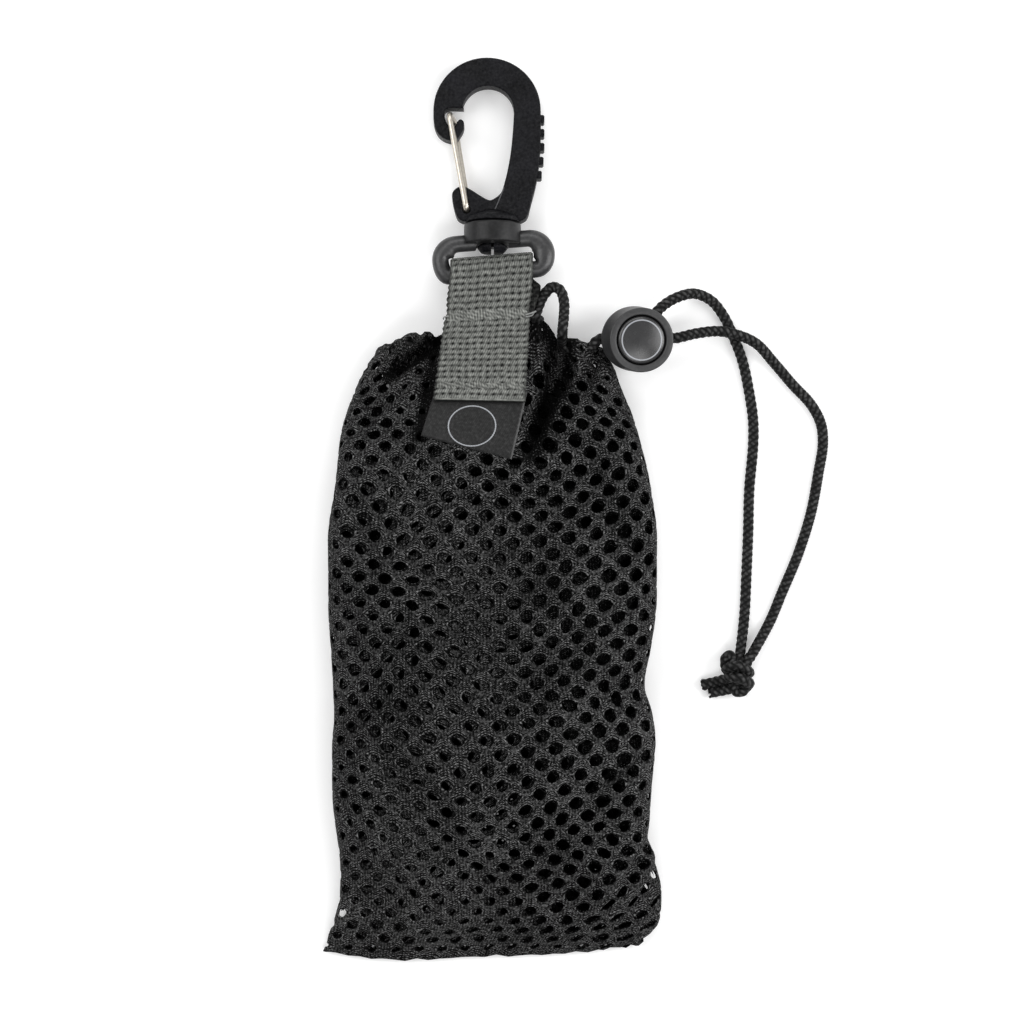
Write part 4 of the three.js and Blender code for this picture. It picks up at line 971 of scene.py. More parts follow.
def hole_shape():
    """Shape of the holes over the bag: squeezed at the sides, the hem and the lower right corner."""
    g = np.random.default_rng(77)
    around = CELLS * CELL_W
    leave = [np.interp(a, MOUTH, TABLE_F) * around for a in (EXIT, TAU - EXIT)]

    def shape(s, t):
        place, _ = cloth_at(np.array([s / around]), np.array([np.clip(t, TABLE_T[0], T_END)]))
        x, y, z = place[0]
        loose = g.uniform(-1, 1)
        side = min(abs(s - around / 2), s % around, around - s % around)
        size = 1.0 if t > 9 else 0.88
        size *= 1.0 - 0.25 * float(smooth(T_END - 16, T_END - 4, t))
        front = z > 8
        if side < 5.5 and y > -96:
            size *= 0.52 + 0.24 * loose
        elif side < 10:
            size *= 0.86 + 0.12 * loose
        if t < 9 and min(abs(s % around - q) for q in leave) < 9:
            size *= 0.4
        if front:
            # dense cloth beside the strap and over the lower left
            beside = float(smooth(-30, -26, x) * smooth(-12, -15, x) * smooth(20, 25, y) * smooth(46, 40, y))
            size *= 1 - beside * (0.42 - 0.15 * loose)
            drawn = math.exp(-(((x - 14.0) / 5.0) ** 4) - ((y - 48.0) / 8.0) ** 4)
            size *= 1 - 0.9 * drawn
            lower = float(smooth(8, -8, x) * smooth(-50, -75, y))
            size *= 1 - lower * (0.2 - 0.16 * loose)
        k = float(smooth(-4, 22, x)) if front else 0.5
        wide, high, lean = size * (0.9 + 0.03 * k), size * (0.87 + 0.15 * k), 0.0
        corner = math.exp(-(((x - 42) / 13) ** 2) - ((y + 115) / 13) ** 2) if front or y < -105 else 0.0
        if corner > 0.12:
            k = min(1.0, 1.5 * corner)
            wide, high, lean = 1.0 + 0.1 * k, 1 - 0.5 * k, (0.95 - 0.45 * float(smooth(-108, -122, y))) * k
        behind = s % around > around / 2 + 2
        if behind and t > T_END - 9:
            wide, high = 0.3 * wide, 0.3 * high
        if any(math.hypot(x - a, y - b) < 2.6 for a, b in THIN):
            wide, high, lean = (1.15, 1.1, 0.0) if behind else (0.6, 0.85, 0.3)
        return wide, high, lean

    return shape


def bag_mesh():
    first = -3
    cells = []
    for r in range(first, ROWS):
        for c in range(CELLS):
            cells.append((r, c, (c + (0.5 if r % 2 else 0)) * CELL_W, r * CELL_H))
    key, flat, share, level, faces = lattice(CELLS, True, cells, hash_jitter(0.24, 5), hole_shape())
    faces = [faces]
    # straight edges: half cells with no hole fill the zigzag at the flap and at the seam
    extra, ex_share, ex_level, tri = [], [], [], []
    base = len(flat)
    for r, sign in ((first - 1, 1), (ROWS, -1)):
        for c in range(CELLS):
            ks0, kt0 = 8 * c + (4 if r % 2 else 0), 4 * r
            cs, ct = (c + (0.5 if r % 2 else 0)) * CELL_W, r * CELL_H
            loops = {}
            for side in (1, -1):
                path = []
                pts = [(4 - m, m * sign) for m in range(5)] + [(-m, (4 - m) * sign) for m in range(1, 5)]
                for p, q in pts:
                    k = ((ks0 + p) % (8 * CELLS), kt0 + q, side)
                    if k not in key:
                        key[k] = base + len(extra)
                        extra.append((cs + p * CELL_W / 8, ct + q * CELL_H / 4))
                        ex_share.append(side)
                        ex_level.append(ct + q * CELL_H / 4)
                    path.append(key[k])
                k = ((ks0) % (8 * CELLS), kt0, side, "mid")
                key[k] = base + len(extra)
                extra.append((cs, ct))
                ex_share.append(side)
                ex_level.append(ct)
                mid = key[k]
                for i in range(8):
                    a, b = path[i], path[i + 1]
                    flip = (side * sign) < 0
                    tri.append((mid, b, a) if flip else (mid, a, b))
                loops[side] = [path[0], mid, path[-1]]
            a, b = loops[1], loops[-1]
            for i in range(2):
                quad = (a[i], a[i + 1], b[i + 1], b[i])
                tri.append((quad[0], quad[1], quad[2]) if sign > 0 else (quad[0], quad[2], quad[1]))
                tri.append((quad[0], quad[2], quad[3]) if sign > 0 else (quad[0], quad[3], quad[2]))
    flat = np.concatenate([flat, np.array(extra)])
    share = np.concatenate([share, ex_share])
    level = np.concatenate([level, ex_level])
    s, t = flat[:, 0], flat[:, 1]
    # the cloth hangs a little lower in the middle, and isn't quite straight
    f = s / (CELLS * CELL_W)
    inside = smooth(6, 34, t) * smooth(T_END, T_END - 30, t)
    sag = -2.6 * np.cos(2 * TAU * (f - 0.25)) * inside
    drift = np.zeros_like(t)
    drift_s = np.zeros_like(t)
    g = np.random.default_rng(91)
    for _ in range(10):
        n, k, p1, p2 = g.integers(-5, 6), g.uniform(-1, 1) * TAU / 45, g.uniform(0, TAU), g.uniform(0, TAU)
        drift += np.cos(TAU * n * f + k * t + p1)
        drift_s += np.cos(TAU * n * f + k * t + p2)
    place, out = cloth_at(f + 0.28 * drift_s * inside / (CELLS * CELL_W), np.clip(t - sag + 0.28 * drift * inside, TABLE_T[0], T_END))
    v = place + out * (CLOTH * share)[:, None]
    v[:, 2] = np.maximum(v[:, 2], 0.05)
    # painted shade in the creases, beside the strap and tab, and at the hole rims, plus broad painted shade and light
    # over the front
    dark = np.maximum(0.9 * crease_shade(v), 0.4 * (share == 0)) + painted_shade_and_light(v)
    ob = mesh_object("bag_mesh", v, faces + [np.array(tri)], MESH, uv=np.stack([s, level], 1), fields={"deep": dark})
    return outward(ob)


bag = bag_mesh()
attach(bag, "bag")
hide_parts("bag_body")


# x, y, reach across, reach along, share: where the second layer touches the front
CLOSE = [(-22.0, -104.0, 17.0, 13.0, 1.0), (-7.0, -42.0, 10.0, 26.0, 0.8), (-27.0, -36.0, 7.0, 20.0, 0.6), (-16.0, -78.0, 12.0, 10.0, 0.7), (-24.0, 6.0, 9.0, 8.0, 0.5), (10.0, -92.0, 10.0, 10.0, 0.6)]


def inner_mesh():
    """Loose folded layers of the same mesh behind the front, turned a little against it."""
    parts, at = [], 0
    around = CELLS * CELL_W
    layers = ((3.4 * DEG, 1.6, 0.9, 0.0, 1), (-1.6 * DEG, 5.3, 2.4, 2.3, 2), (4.6 * DEG, 2.2, 3.1, 4.8, 2))
    for layer, (turn, ds, dt, deeper, step) in enumerate(layers):
        c, s = math.cos(turn), math.sin(turn)
        cells = []
        for r in range(-27, 28):
            for q in range(-12, 13):
                a, b = (q + (0.5 if r % 2 else 0)) * CELL_W + ds, r * CELL_H + dt
                fs, ft = around / 4 + c * a - s * b, 84 + s * a + c * b
                at_place = cloth_at(np.array([fs / around]), np.array([np.clip(ft, 0, T_END)]))[0][0]
                clear = min(math.hypot(at_place[0] - u, at_place[1] - w) for u, w in THIN) > 4.5
                if -13 < fs < around / 2 + 13 and 7 < ft < T_END - 6 and clear:
                    cells.append((r, q, a, b))
        # the deepest layer lies in close folds, so its holes are nearly shut
        shut = (lambda s, t: (0.16, 0.16, 0.0)) if layer == 2 else None
        key, flat, share, level, faces = lattice(
            400, False, cells, hash_jitter(0.22, 11 + layer), shut, step=step, seed=20 + layer
        )
        fs, ft = around / 4 + c * flat[:, 0] - s * flat[:, 1], 84 + s * flat[:, 0] + c * flat[:, 1]
        f = fs / around
        right = 1 - 2 * f
        deep = 1.9 * smooth(0.42, 0.85, right) + 2.6 * smooth(42, 14, ft)
        edge = smooth(-0.02, 0.07, f) * smooth(0.52, 0.43, f)
        place, out = cloth_at(f, np.clip(ft, 0, T_END))
        close = np.zeros(len(f))
        for px, py, rx, ry, k in CLOSE:
            close = np.maximum(close, k * np.exp(-(((place[:, 0] - px) / rx) ** 2) - ((place[:, 1] - py) / ry) ** 2))
        close = close * (layer == 0)
        depth = 0.72 + (0.5 * edge + deep * edge) * (1 - close) + deeper * (0.2 + 0.8 * edge)
        room = np.clip((place[:, 2] - 3) / 15, 0, 1)
        depth = 0.72 + (depth - 0.72) * room
        v = place - out * (depth - 0.85 * CLOTH * share)[:, None]
        v[:, 2] = np.maximum(v[:, 2], 1.7)
        # painted shade: deeper layers and their hole rims are darker, and less so where the layer touches the front
        dark = np.clip(0.12 * (depth - 1.2), 0, 0.6) + 0.2 * (1 - 1.2 * close) + 0.12 * (layer > 0) + 0.3 * (share == 0)
        parts.append((v, faces + at, flat[:, 0], level, dark))
        at += len(v)
    uv = np.stack([np.concatenate([p[2] for p in parts]), np.concatenate([p[3] for p in parts])], 1)
    verts, faces, dark = (np.concatenate([p[k] for p in parts]) for k in (0, 1, 4))
    return outward(mesh_object("inner_fold", verts, faces, MESH, uv=uv, fields={"deep": dark}))


inner = inner_mesh()
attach(inner, "bag")
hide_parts("inner_panel")

# ------------------------------------------------------------------ webbing strap
GAP, WEB, WEB_LOOSE = 0.35, 1.5, 0.8
RING_SIZE = dict(x=0.28, y=-6.48, yaw=4.7 * DEG, straight=21.0, end=4.5, corner=2.0, bar=2.35)
WEB_END = dict(y=30.2, x=-3.66, half=12.8, skew=-0.02)
WEB_FOLD = dict(x=-0.24, half=11.62, skew=math.tan(RING_SIZE["yaw"]))
STITCH_Y, BACK_END, BACK_SHIFT = 54.3, 52.6, 2.2


def from_hook(x, y, z):
    return np.array(HOOK_FRAME @ (Vector((x, y, z)) * MM)) / MM


BAR = from_hook(RING_SIZE["x"] + RING_SIZE["end"] * math.sin(RING_SIZE["yaw"]), RING_SIZE["y"] - RING_SIZE["end"] * math.cos(RING_SIZE["yaw"]), 0)


def strap_path():
    radius = RING_SIZE["bar"] + WEB_LOOSE + WEB / 2 + 0.5

    def over(y):
        top = max(float(front_height(x, y)) for x in np.linspace(-16.5, 10.5, 9))
        return top + 1.2 * GAP + (1.0 + GAP) * float(smooth(46, 41, y)) + WEB / 2

    path = [(y, over(y)) for y in (WEB_END["y"], 34, 38, 41, 44)]
    hem = (46.6, over(46.6))
    path.append(hem)

    def tangent(p, sign):
        dy, dz = p[0] - BAR[1], p[1] - BAR[2]
        return math.atan2(dz, dy) + sign * math.acos(radius / math.hypot(dy, dz))

    start = tangent(hem, -1)
    slope = (hem[1] - (BAR[2] + radius * math.sin(start))) / (BAR[1] + radius * math.cos(start) - hem[0])
    under = lambda y: hem[1] - slope * (y - hem[0]) - WEB - GAP
    stitch = (STITCH_Y + 0.6, under(STITCH_Y + 0.6))
    path += [(52, hem[1] - slope * (52 - hem[0])), (58, hem[1] - slope * (58 - hem[0]))]
    end = tangent(stitch, 1) - TAU
    lead = len(path)
    for i in range(21):
        a = lerp(start, end, i / 20)
        path.append((BAR[1] + radius * math.cos(a), BAR[2] + radius * math.sin(a)))
    path += [stitch, (BACK_END, under(BACK_END))]
    return np.array(path), lead


def strap_mesh():
    path, lead = strap_path()
    run0 = np.concatenate([[0], np.cumsum(np.linalg.norm(np.diff(path, axis=0), axis=1))])
    total = run0[-1]
    run = np.linspace(0, total, int(total / 0.25) + 1)
    # soften the corners of the path
    raw = np.stack([np.interp(run, run0, path[:, k]) for k in (0, 1)], 1)
    kernel = np.hanning(15)
    kernel /= kernel.sum()
    pad = np.concatenate([np.repeat(raw[:1], 7, 0), raw, np.repeat(raw[-1:], 7, 0)])
    line = np.stack([np.convolve(pad[:, k], kernel, "valid") for k in (0, 1)], 1)
    line[:3], line[-3:] = raw[:3], raw[-3:]
    fold_run, back_run = run0[lead], run0[lead + 20]
    t = np.clip((line[:, 0] - WEB_END["y"]) / (BAR[1] - WEB_END["y"]), 0, 1)
    t = np.where(run > fold_run, 1.0, t)
    shift = BACK_SHIFT * smooth(back_run - 1, back_run + 3, run) * (1 - 0.85 * smooth(back_run + 3, total - 1, run))
    x_mid = lerp(WEB_END["x"], WEB_FOLD["x"], t) + shift
    pivot = lerp(WEB_END["x"], BAR[0], t)
    half = lerp(WEB_END["half"], WEB_FOLD["half"], t)
    skew = lerp(WEB_END["skew"], WEB_FOLD["skew"], t)
    # the edges draw in at the upper seam
    seam = run0[np.argmin(np.abs(path[:lead, 0] - 52))] + (STITCH_Y - 52)
    half = half - 0.45 * np.exp(-(((run - seam - 1.5) / 2.2) ** 2)) + 0.16 * np.sin(run * 3.59) * smooth(fold_run - 1.5, fold_run - 4, run)
    g = np.gradient(line, axis=0)
    normal = unit(np.stack([-g[:, 1], g[:, 0]], 1))
    columns = 169
    u = np.linspace(-1, 1, columns)
    across = u[None, :] * half[:, None]
    xx = x_mid[:, None] + across
    along = np.broadcast_to(run[:, None], xx.shape)
    # weave: rows of short ribs, with dark pits between them
    def weave(a, b, seed):
        lean = a + 0.05 * b
        row = np.minimum(b, seam) / 1.66 + np.maximum(b - seam, 0) / 1.87 + 0.05 * np.sin(a * 0.9 + seed)
        v = row - np.floor(row)
        crest = np.sin(np.pi * v) ** 0.42
        s = v - np.round(v)
        col = (lean - 0.5 * s) / 2.0 + 0.06 * np.sin(b * 0.8)
        w = np.abs(col - np.round(col))
        dv = np.minimum(v, 1 - v)
        pit = np.exp(-((w / 0.18) ** 2)) * np.exp(-((dv / 0.18) ** 2))
        rib = 0.5 + 0.5 * np.cos(TAU * (3 * col - 0.5 - 0.3 * s))
        return 0.33 * crest + 0.40 * rib * (0.45 + 0.55 * crest) - 1.05 * pit + 0.17

    h = weave(across, along, 0.0)

    def band(a, b, at, wide, pitch):
        """Dense stitching across the strap."""
        inside = smooth(wide / 2 + 0.25, wide / 2 - 0.25, np.abs(b - at + 0.25 * np.sin(a * 1.3)))
        thread = 0.66 + 0.17 * np.cos(TAU * (a + (0.5 + 0.35 * np.sin(a * 0.7)) * (b - at)) / pitch) + 0.2 * np.sin(a * 5.7 + b * 3.1) * np.sin(a * 2.3 - b * 2.2) + 0.14 * np.sin(b * 6.1 + a * 1.7)
        return inside, thread

    for at, wide, pitch, raise_by in ((seam, 3.0, 0.8, 0.02), (4.2, 1.9, 0.75, -0.02)):
        inside, thread = band(across, along, at, wide, pitch)
        inside = inside * (run[:, None] < back_run)
        h = h * (1 - inside) + inside * (thread + raise_by)
    # turned end, a pale smooth line
    h = np.maximum(h, 0.9 * smooth(0.55, 0.1, along))
    edge = smooth(1.0, 0.93, np.abs(u))[None, :]
    h = h * (0.35 + 0.65 * edge)
    lift = (WEB / 2 - 0.30) + 0.36 * np.clip(h, -0.6, 1.3)
    lift = lift * (0.55 + 0.45 * smooth(1.0, 0.95, np.abs(u))[None, :])
    y = line[:, 0][:, None] + (xx - pivot[:, None]) * skew[:, None]
    z = np.broadcast_to(line[:, 1][:, None], xx.shape)
    # edges curl down a little
    curl = 0.25 * smooth(0.8, 1.0, np.abs(u))[None, :] * smooth(fold_run, fold_run - 10, along)
    top = np.stack([xx, y + normal[:, 0][:, None] * (lift - curl), z + normal[:, 1][:, None] * (lift - curl)], -1)
    inner_lift = WEB / 2 - 0.05 + 0.08 * weave(across, along + 0.8, 2.0)
    inner_lift = inner_lift * (0.55 + 0.45 * smooth(1.0, 0.95, np.abs(u))[None, :])
    low = np.stack([xx, y - normal[:, 0][:, None] * (inner_lift + curl), z - normal[:, 1][:, None] * (inner_lift + curl)], -1)
    n, m = top.shape[:2]
    v = np.concatenate([top.reshape(-1, 3), low.reshape(-1, 3)])
    f1 = grid_faces(n, m)
    f2 = grid_faces(n, m)[:, ::-1] + n * m
    rim = []
    i = np.arange(n - 1)
    for c, flip in ((0, False), (m - 1, True)):
        q = np.stack([i * m + c, (i + 1) * m + c, n * m + (i + 1) * m + c, n * m + i * m + c], 1)
        rim.append(q[:, ::-1] if flip else q)
    j = np.arange(m - 1)
    for r, flip in ((0, True), (n - 1, False)):
        q = np.stack([r * m + j, r * m + j + 1, n * m + r * m + j + 1, n * m + r * m + j], 1)
        rim.append(q if flip else q[:, ::-1])
    # painted shade: the colour follows the weave's height, dark in the pits and along the edges; the back leg beyond
    # the fold is darkened, and the inner face darker still
    behind = smooth(fold_run + 4, fold_run + 12, run)[:, None]
    shade = np.clip(0.1 + 0.68 * h, 0, 1) * (1 - 0.85 * behind)
    shade = np.concatenate([shade.ravel(), np.clip(0.02 + 0.16 * weave(across, along + 0.8, 2.0), 0, 1).ravel()])
    ob = mesh_object("strap_webbing", v, [f1, f2, *rim], WEBBING, fields={"height": shade})
    return outward(ob), line, run, x_mid, half, normal, seam


strap, strap_line, strap_run, strap_x, strap_half, strap_normal, strap_seam = strap_mesh()
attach(strap, "bag")
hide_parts("webbing_strap")

# loose thread ends beside the upper seam
threads = []
k = int(np.argmin(np.abs(strap_run - strap_seam)))
y0, z0 = strap_line[k]
for pts, r in (
    ([(strap_x[k] + strap_half[k] - 1.2, y0, z0 + 0.9), (strap_x[k] + strap_half[k] + 0.6, y0 + 0.5, z0 + 0.9), (strap_x[k] + strap_half[k] + 1.7, y0 + 1.0, z0 + 0.2)], 0.24),
    ([(strap_x[k] + strap_half[k] - 1.2, y0 - 0.6, z0 + 0.9), (strap_x[k] + strap_half[k] + 0.5, y0 - 0.2, z0 + 0.7), (strap_x[k] + strap_half[k] + 1.2, y0 + 0.6, z0 - 0.2)], 0.2),
    ([(strap_x[k] - strap_half[k] + 1.0, y0 - 0.4, z0 + 0.9), (strap_x[k] - strap_half[k] - 0.3, y0 - 0.7, z0 + 0.5), (strap_x[k] - strap_half[k] - 0.5, y0 - 1.2, z0 - 0.3)], 0.2),
):
    v, f, _, _ = tube(curve_through(pts, 0.15), r, 8)
    threads.append((v, f))
thread = joined("seam_thread", threads, THREAD)
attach(thread, "bag")

# ------------------------------------------------------------------ label tab
LABEL = dict(wide=26.2, high=17.0, thick=0.85)
LABEL_CORNERS = np.array([(-19.94, 20.3), (5.41, 13.73), (-15.9, 33.4), (9.9, 33.0)])  # lower pair, upper pair


def label_place(u, v):
    q = LABEL_CORNERS
    p = [(1 - u) * (1 - v) * q[0, k] + u * (1 - v) * q[1, k] + (1 - u) * v * q[2, k] + u * v * q[3, k] for k in (0, 1)]
    return p[0], p[1]


def label_level(x, y):
    """Smooth height of the tab over the cloth."""
    total = np.zeros(np.shape(x))
    weights = 0.0
    for dx in (-3, -1.5, 0, 1.5, 3):
        for dy in (-3, -1.5, 0, 1.5, 3):
            w = math.exp(-(dx * dx + dy * dy) / 8)
            total = total + w * front_height(np.asarray(x) + dx, np.asarray(y) + dy)
            weights += w
    return np.maximum(total / weights, front_height(x, y) - 0.15) + 1.5 * GAP + 0.2


def label_mesh():
    nu, nv = 90, 58
    u, v = np.meshgrid(np.linspace(0, 1, nu), np.linspace(0, 1, nv))
    x, y = label_place(u, v)
    z = label_level(x, y)
    # rounded free edges, with a slightly raised fold along the lower and right ones
    du = np.minimum(u, 1 - u) * LABEL["wide"]
    dv = np.minimum(v, 1) * LABEL["high"]
    near = np.minimum(du, dv)
    puff = np.sqrt(np.clip(1 - (1 - np.clip(near / 0.5, 0, 1)) ** 2, 0, 1))
    fold_line = 0.05 * np.exp(-(((near - 0.8) / 0.6) ** 2))
    top = np.stack([x, y, z + LABEL["thick"] / 2 + (LABEL["thick"] / 2 + fold_line) * puff], -1)
    low = np.stack([x, y, z + LABEL["thick"] / 2 - LABEL["thick"] / 2 * puff], -1)
    n, m = nv, nu
    verts = np.concatenate([top.reshape(-1, 3), low.reshape(-1, 3)])
    rim = []
    i = np.arange(n - 1)
    for c in (0, m - 1):
        rim.append(np.stack([i * m + c, (i + 1) * m + c, n * m + (i + 1) * m + c, n * m + i * m + c], 1))
    j = np.arange(m - 1)
    for r in (0, n - 1):
        rim.append(np.stack([r * m + j, r * m + j + 1, n * m + r * m + j + 1, n * m + r * m + j], 1))
    # painted highlight along the right edge, and painted shadow on the tab just under the strap's lower edge
    edge = smooth(0.75, 0.15, (1 - u) * LABEL["wide"])
    edge = edge - 0.55 * smooth(0.9, 0.2, WEB_END["y"] + WEB_END["skew"] * (x - WEB_END["x"]) - y)
    ob = mesh_object(
        "label", verts, [grid_faces(n, m), grid_faces(n, m)[:, ::-1] + n * m, *rim], LABEL_TAPE,
        fields={"edge": np.concatenate([edge.ravel(), edge.ravel()])},
    )
    return outward(ob)


label = label_mesh()
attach(label, "bag")
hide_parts("label_tab")

# plain oval of pale thread on the tab
a = np.arange(160) / 160 * TAU
oval = np.stack([6.6 * np.cos(a), 5.6 * np.sin(a)], 1)
ct, st = math.cos(0.06), math.sin(0.06)
ox, oy = -5.66 + oval[:, 0] * ct - oval[:, 1] * st, 23.05 + oval[:, 0] * st + oval[:, 1] * ct
oval_line = np.stack([ox, oy, label_level(ox, oy) + LABEL["thick"] + 0.02], 1)
v, f, _, _ = tube(oval_line, 0.2, 8, closed=True, shape=lambda ang, run: 1 + 0.15 * np.cos(run * 9))
oval_ob = joined("label_oval", [(v, f)], PRINT)
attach(oval_ob, "bag")

# ------------------------------------------------------------------ snap hook
CROWN, EYE = (-1.55, 35.0, 15.15), (-1.27, 34.7, 7.3)
HOOK_SPINE = [(7.9, 3.3), (9.6, 4.4), (10.9, 8.7), (12.5, 15.2), (13.5, 23.7)]
HOOK_NOSE = [
    (-16.5, 31.0), (-15.3, 28.2), (-13.1, 26.6), (-10.6, 26.3), (-8.9, 28.2), (-8.0, 30.4), (-8.3, 32.0), (-9.1, 32.4),
    (-9.9, 31.8), (-10.5, 30.6), (-11.4, 29.9), (-12.7, 31.0), (-13.5, 33.2), (-13.4, 35.0), (-12.3, 35.6), (-8.1, 35.6),
]
HOOK_INSIDE = [
    (5.7, 28.7), (4.9, 21.4), (3.5, 14.7), (2.3, 11.3), (0.4, 9.7), (-0.9, 9.3), (-6.3, 12.4), (-8.0, 13.2), (-9.7, 13.0),
    (-11.1, 11.8), (-11.4, 10.4), (-10.6, 6.2), (-9.7, 4.1), (-8.4, 3.3),
]
HOOK_HALF, HOOK_BEVEL = 3.15, 0.55


def plate_object(name, outline, half, bevel, mat):
    """Moulded plate with rounded edges."""
    cu = bpy.data.curves.new(name, "CURVE")
    cu.dimensions, cu.fill_mode = "2D", "BOTH"
    cu.extrude, cu.bevel_depth, cu.offset, cu.bevel_resolution = (half - bevel) * MM, bevel * MM, -bevel * MM, 3
    sp = cu.splines.new("POLY")
    sp.points.add(len(outline) - 1)
    sp.points.foreach_set("co", np.concatenate([np.asarray(outline, float) * MM, np.zeros((len(outline), 1)), np.ones((len(outline), 1))], 1).ravel())
    sp.use_cyclic_u = True
    tmp = bpy.data.objects.new(name, cu)
    scene.collection.objects.link(tmp)
    dg = bpy.context.evaluated_depsgraph_get()
    me = bpy.data.meshes.new_from_object(tmp.evaluated_get(dg))
    bpy.data.objects.remove(tmp)
    import bmesh

    bm = bmesh.new()
    bm.from_mesh(me)
    bmesh.ops.remove_doubles(bm, verts=bm.verts, dist=1e-6)
    bmesh.ops.recalc_face_normals(bm, faces=bm.faces)
    bm.to_mesh(me)
    bm.free()
    ob = bpy.data.objects.new(name, me)
    scene.collection.objects.link(ob)
    me.materials.clear()
    me.materials.append(mat)
    return ob


def hook_outline():
    crown = [(CROWN[0] + CROWN[2] * math.cos(a), CROWN[1] + CROWN[2] * math.sin(a)) for a in np.linspace(0, math.pi, 49)]
    eye = [(EYE[0] + EYE[2] * math.cos(a), EYE[1] + EYE[2] * math.sin(a)) for a in np.linspace(math.pi - 0.22, 0, 29)]
    right = curve_through(HOOK_SPINE + crown[:2], per=6)[:-7]
    nose = curve_through(crown[-2:] + HOOK_NOSE, per=6)[6:]
    inside = curve_through(eye[-2:] + HOOK_INSIDE, per=6)[6:]
    return np.concatenate([right, np.array(crown[:-1]), nose, np.array(eye[:-1]), inside])


hook_parts = [plate_object("hook", hook_outline(), HOOK_HALF, HOOK_BEVEL, HOOK_PLASTIC)]
# grip ribs on the spine
for i in range(5):
    y = 32.6 - 4.0 * i
    x = 13.4 - 0.9 * float(smooth(24, 14, y))
    rib = [(x - 1.2, y - 1.15), (x + 0.9, y - 1.15), (x + 1.25, y - 0.8), (x + 1.25, y + 0.8), (x + 0.9, y + 1.15), (x - 1.2, y + 1.15)]
    hook_parts.append(plate_object(f"rib{i}", rib, 2.5, 0.25, HOOK_PLASTIC))


def turned_y(profile, segments=96):
    """Turned about the swivel axis: profile in (radius, along)."""
    v, f = turned(profile, segments)
    return np.stack([v[:, 0], v[:, 2], -v[:, 1]], 1), f


flange_v, flange_f = turned_y(rounded([(0, 6.7), (3.2, 6.7), (7.3, 4.95), (7.95, 4.4), (7.95, 3.25), (0, 3.25)], 0.35))
hook_parts.append(outward(mesh_object("flange", flange_v, flange_f, HOOK_PLASTIC)))
stem_v, stem_f = turned_y(rounded([(0, 3.7), (3.1, 3.7), (3.1, -3.4), (4.3, -3.5), (4.3, -4.1), (3.2, -5.4), (0, -5.4)], 0.2), 48)
stem = outward(mesh_object("stem", stem_v, stem_f, HOOK_PLASTIC))
slit = mesh_object(
    "slit",
    np.array([(x, y, z) for x in (-0.38, 0.38) for y in (-7.2, -1.65) for z in (-6, 6)], float),
    np.array([[0, 1, 3, 2], [4, 6, 7, 5], [0, 4, 5, 1], [2, 3, 7, 6], [0, 2, 6, 4], [1, 5, 7, 3]]),
    None,
)
hook_parts.append(carve(stem, outward(slit)))
# pivot hole of the gate
for x, y, low, high, r in ((-7.3, 6.5, -0.4, 6.0, 1.15), (-6.6, 6.2, -6.0, -0.6, 1.5)):
    pin_v, pin_f, _, _ = tube(np.array([(x, y, low), (x, y, high)], float), r, 32)
    for k in (0, 6):  # the plate and the flange under it
        hook_parts[k] = carve(hook_parts[k], outward(mesh_object("pin_hole", pin_v, pin_f, None)))


def merge(name, objects, mat, frame_matrix=None, sharp=35):
    """Joins finished meshes into one piece and puts it in its frame."""
    import bmesh

    bm = bmesh.new()
    for ob in objects:
        bm.from_mesh(ob.data)
    me = bpy.data.meshes.new(name)
    bm.to_mesh(me)
    bm.free()
    for ob in objects:
        bpy.data.objects.remove(ob)
    for p in me.polygons:
        p.use_smooth = True
        p.material_index = 0
    if sharp:
        me.set_sharp_from_angle(angle=sharp * DEG)
    if frame_matrix is not None:
        me.transform(frame_matrix)
    me.materials.clear()
    me.materials.append(mat)
    ob = bpy.data.objects.new(name, me)
    scene.collection.objects.link(ob)
    return ob


hook = merge("hook_body", hook_parts, HOOK_PLASTIC, HOOK_FRAME, 38)
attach(hook, "hook")
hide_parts("snap_hook")

# moulded edge where the foot meets the spine, on both faces: a thin ridge in paler plastic, a painted highlight along
# the edge
creases = []
for side in (1, -1):
    line = curve_through([(3.3, 12.9, side * 2.98), (2.5, 11.0, side * 3.13), (1.3, 8.0, side * 3.14), (0.2, 5.6, side * 3.08)], 0.3)
    v, f, _, _ = tube(line, 0.17, 10)
    creases.append(outward(mesh_object("crease", v, f, EDGE_HIGHLIGHT_PLASTIC)))
crease = merge("hook_edge_line", creases, EDGE_HIGHLIGHT_PLASTIC, HOOK_FRAME, None)
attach(crease, "hook")

# wire gate: one bent wire, both legs on the faces of the hook
GATE = dict(top=(-12.25, 33.7), back=(-11.0, 33.4), foot=(-7.3, 6.5), heel=(-6.6, 6.2), leg=4.25, r=0.85)


def filleted(points, radius, steps=8):
    p = np.asarray(points, float)
    out = [p[0]]
    for i in range(1, len(p) - 1):
        a, b = unit(p[i - 1] - p[i]), unit(p[i + 1] - p[i])
        r = min(radius, 0.45 * np.linalg.norm(p[i - 1] - p[i]), 0.45 * np.linalg.norm(p[i + 1] - p[i]))
        p1, p2 = p[i] + a * r, p[i] + b * r
        for t in np.linspace(0, 1, steps + 1):
            out.append((1 - t) ** 2 * p1 + 2 * t * (1 - t) * p[i] + t**2 * p2)
    out.append(p[-1])
    return np.array(out)


g = GATE
wire = filleted(
    [(*g["foot"], 1.1), (*g["foot"], g["leg"]), (*g["top"], g["leg"]), (*g["back"], -g["leg"]), (*g["heel"], -g["leg"]), (*g["heel"], -1.1)], 2.0
)
v, f, _, _ = tube(even(wire, 0.35), g["r"], 24)
gate_ob = outward(mesh_object("gate_wire", v, f, STEEL))
gate = merge("wire_gate_bent", [gate_ob], STEEL, HOOK_FRAME, None)
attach(gate, "gate")
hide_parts("wire_gate")

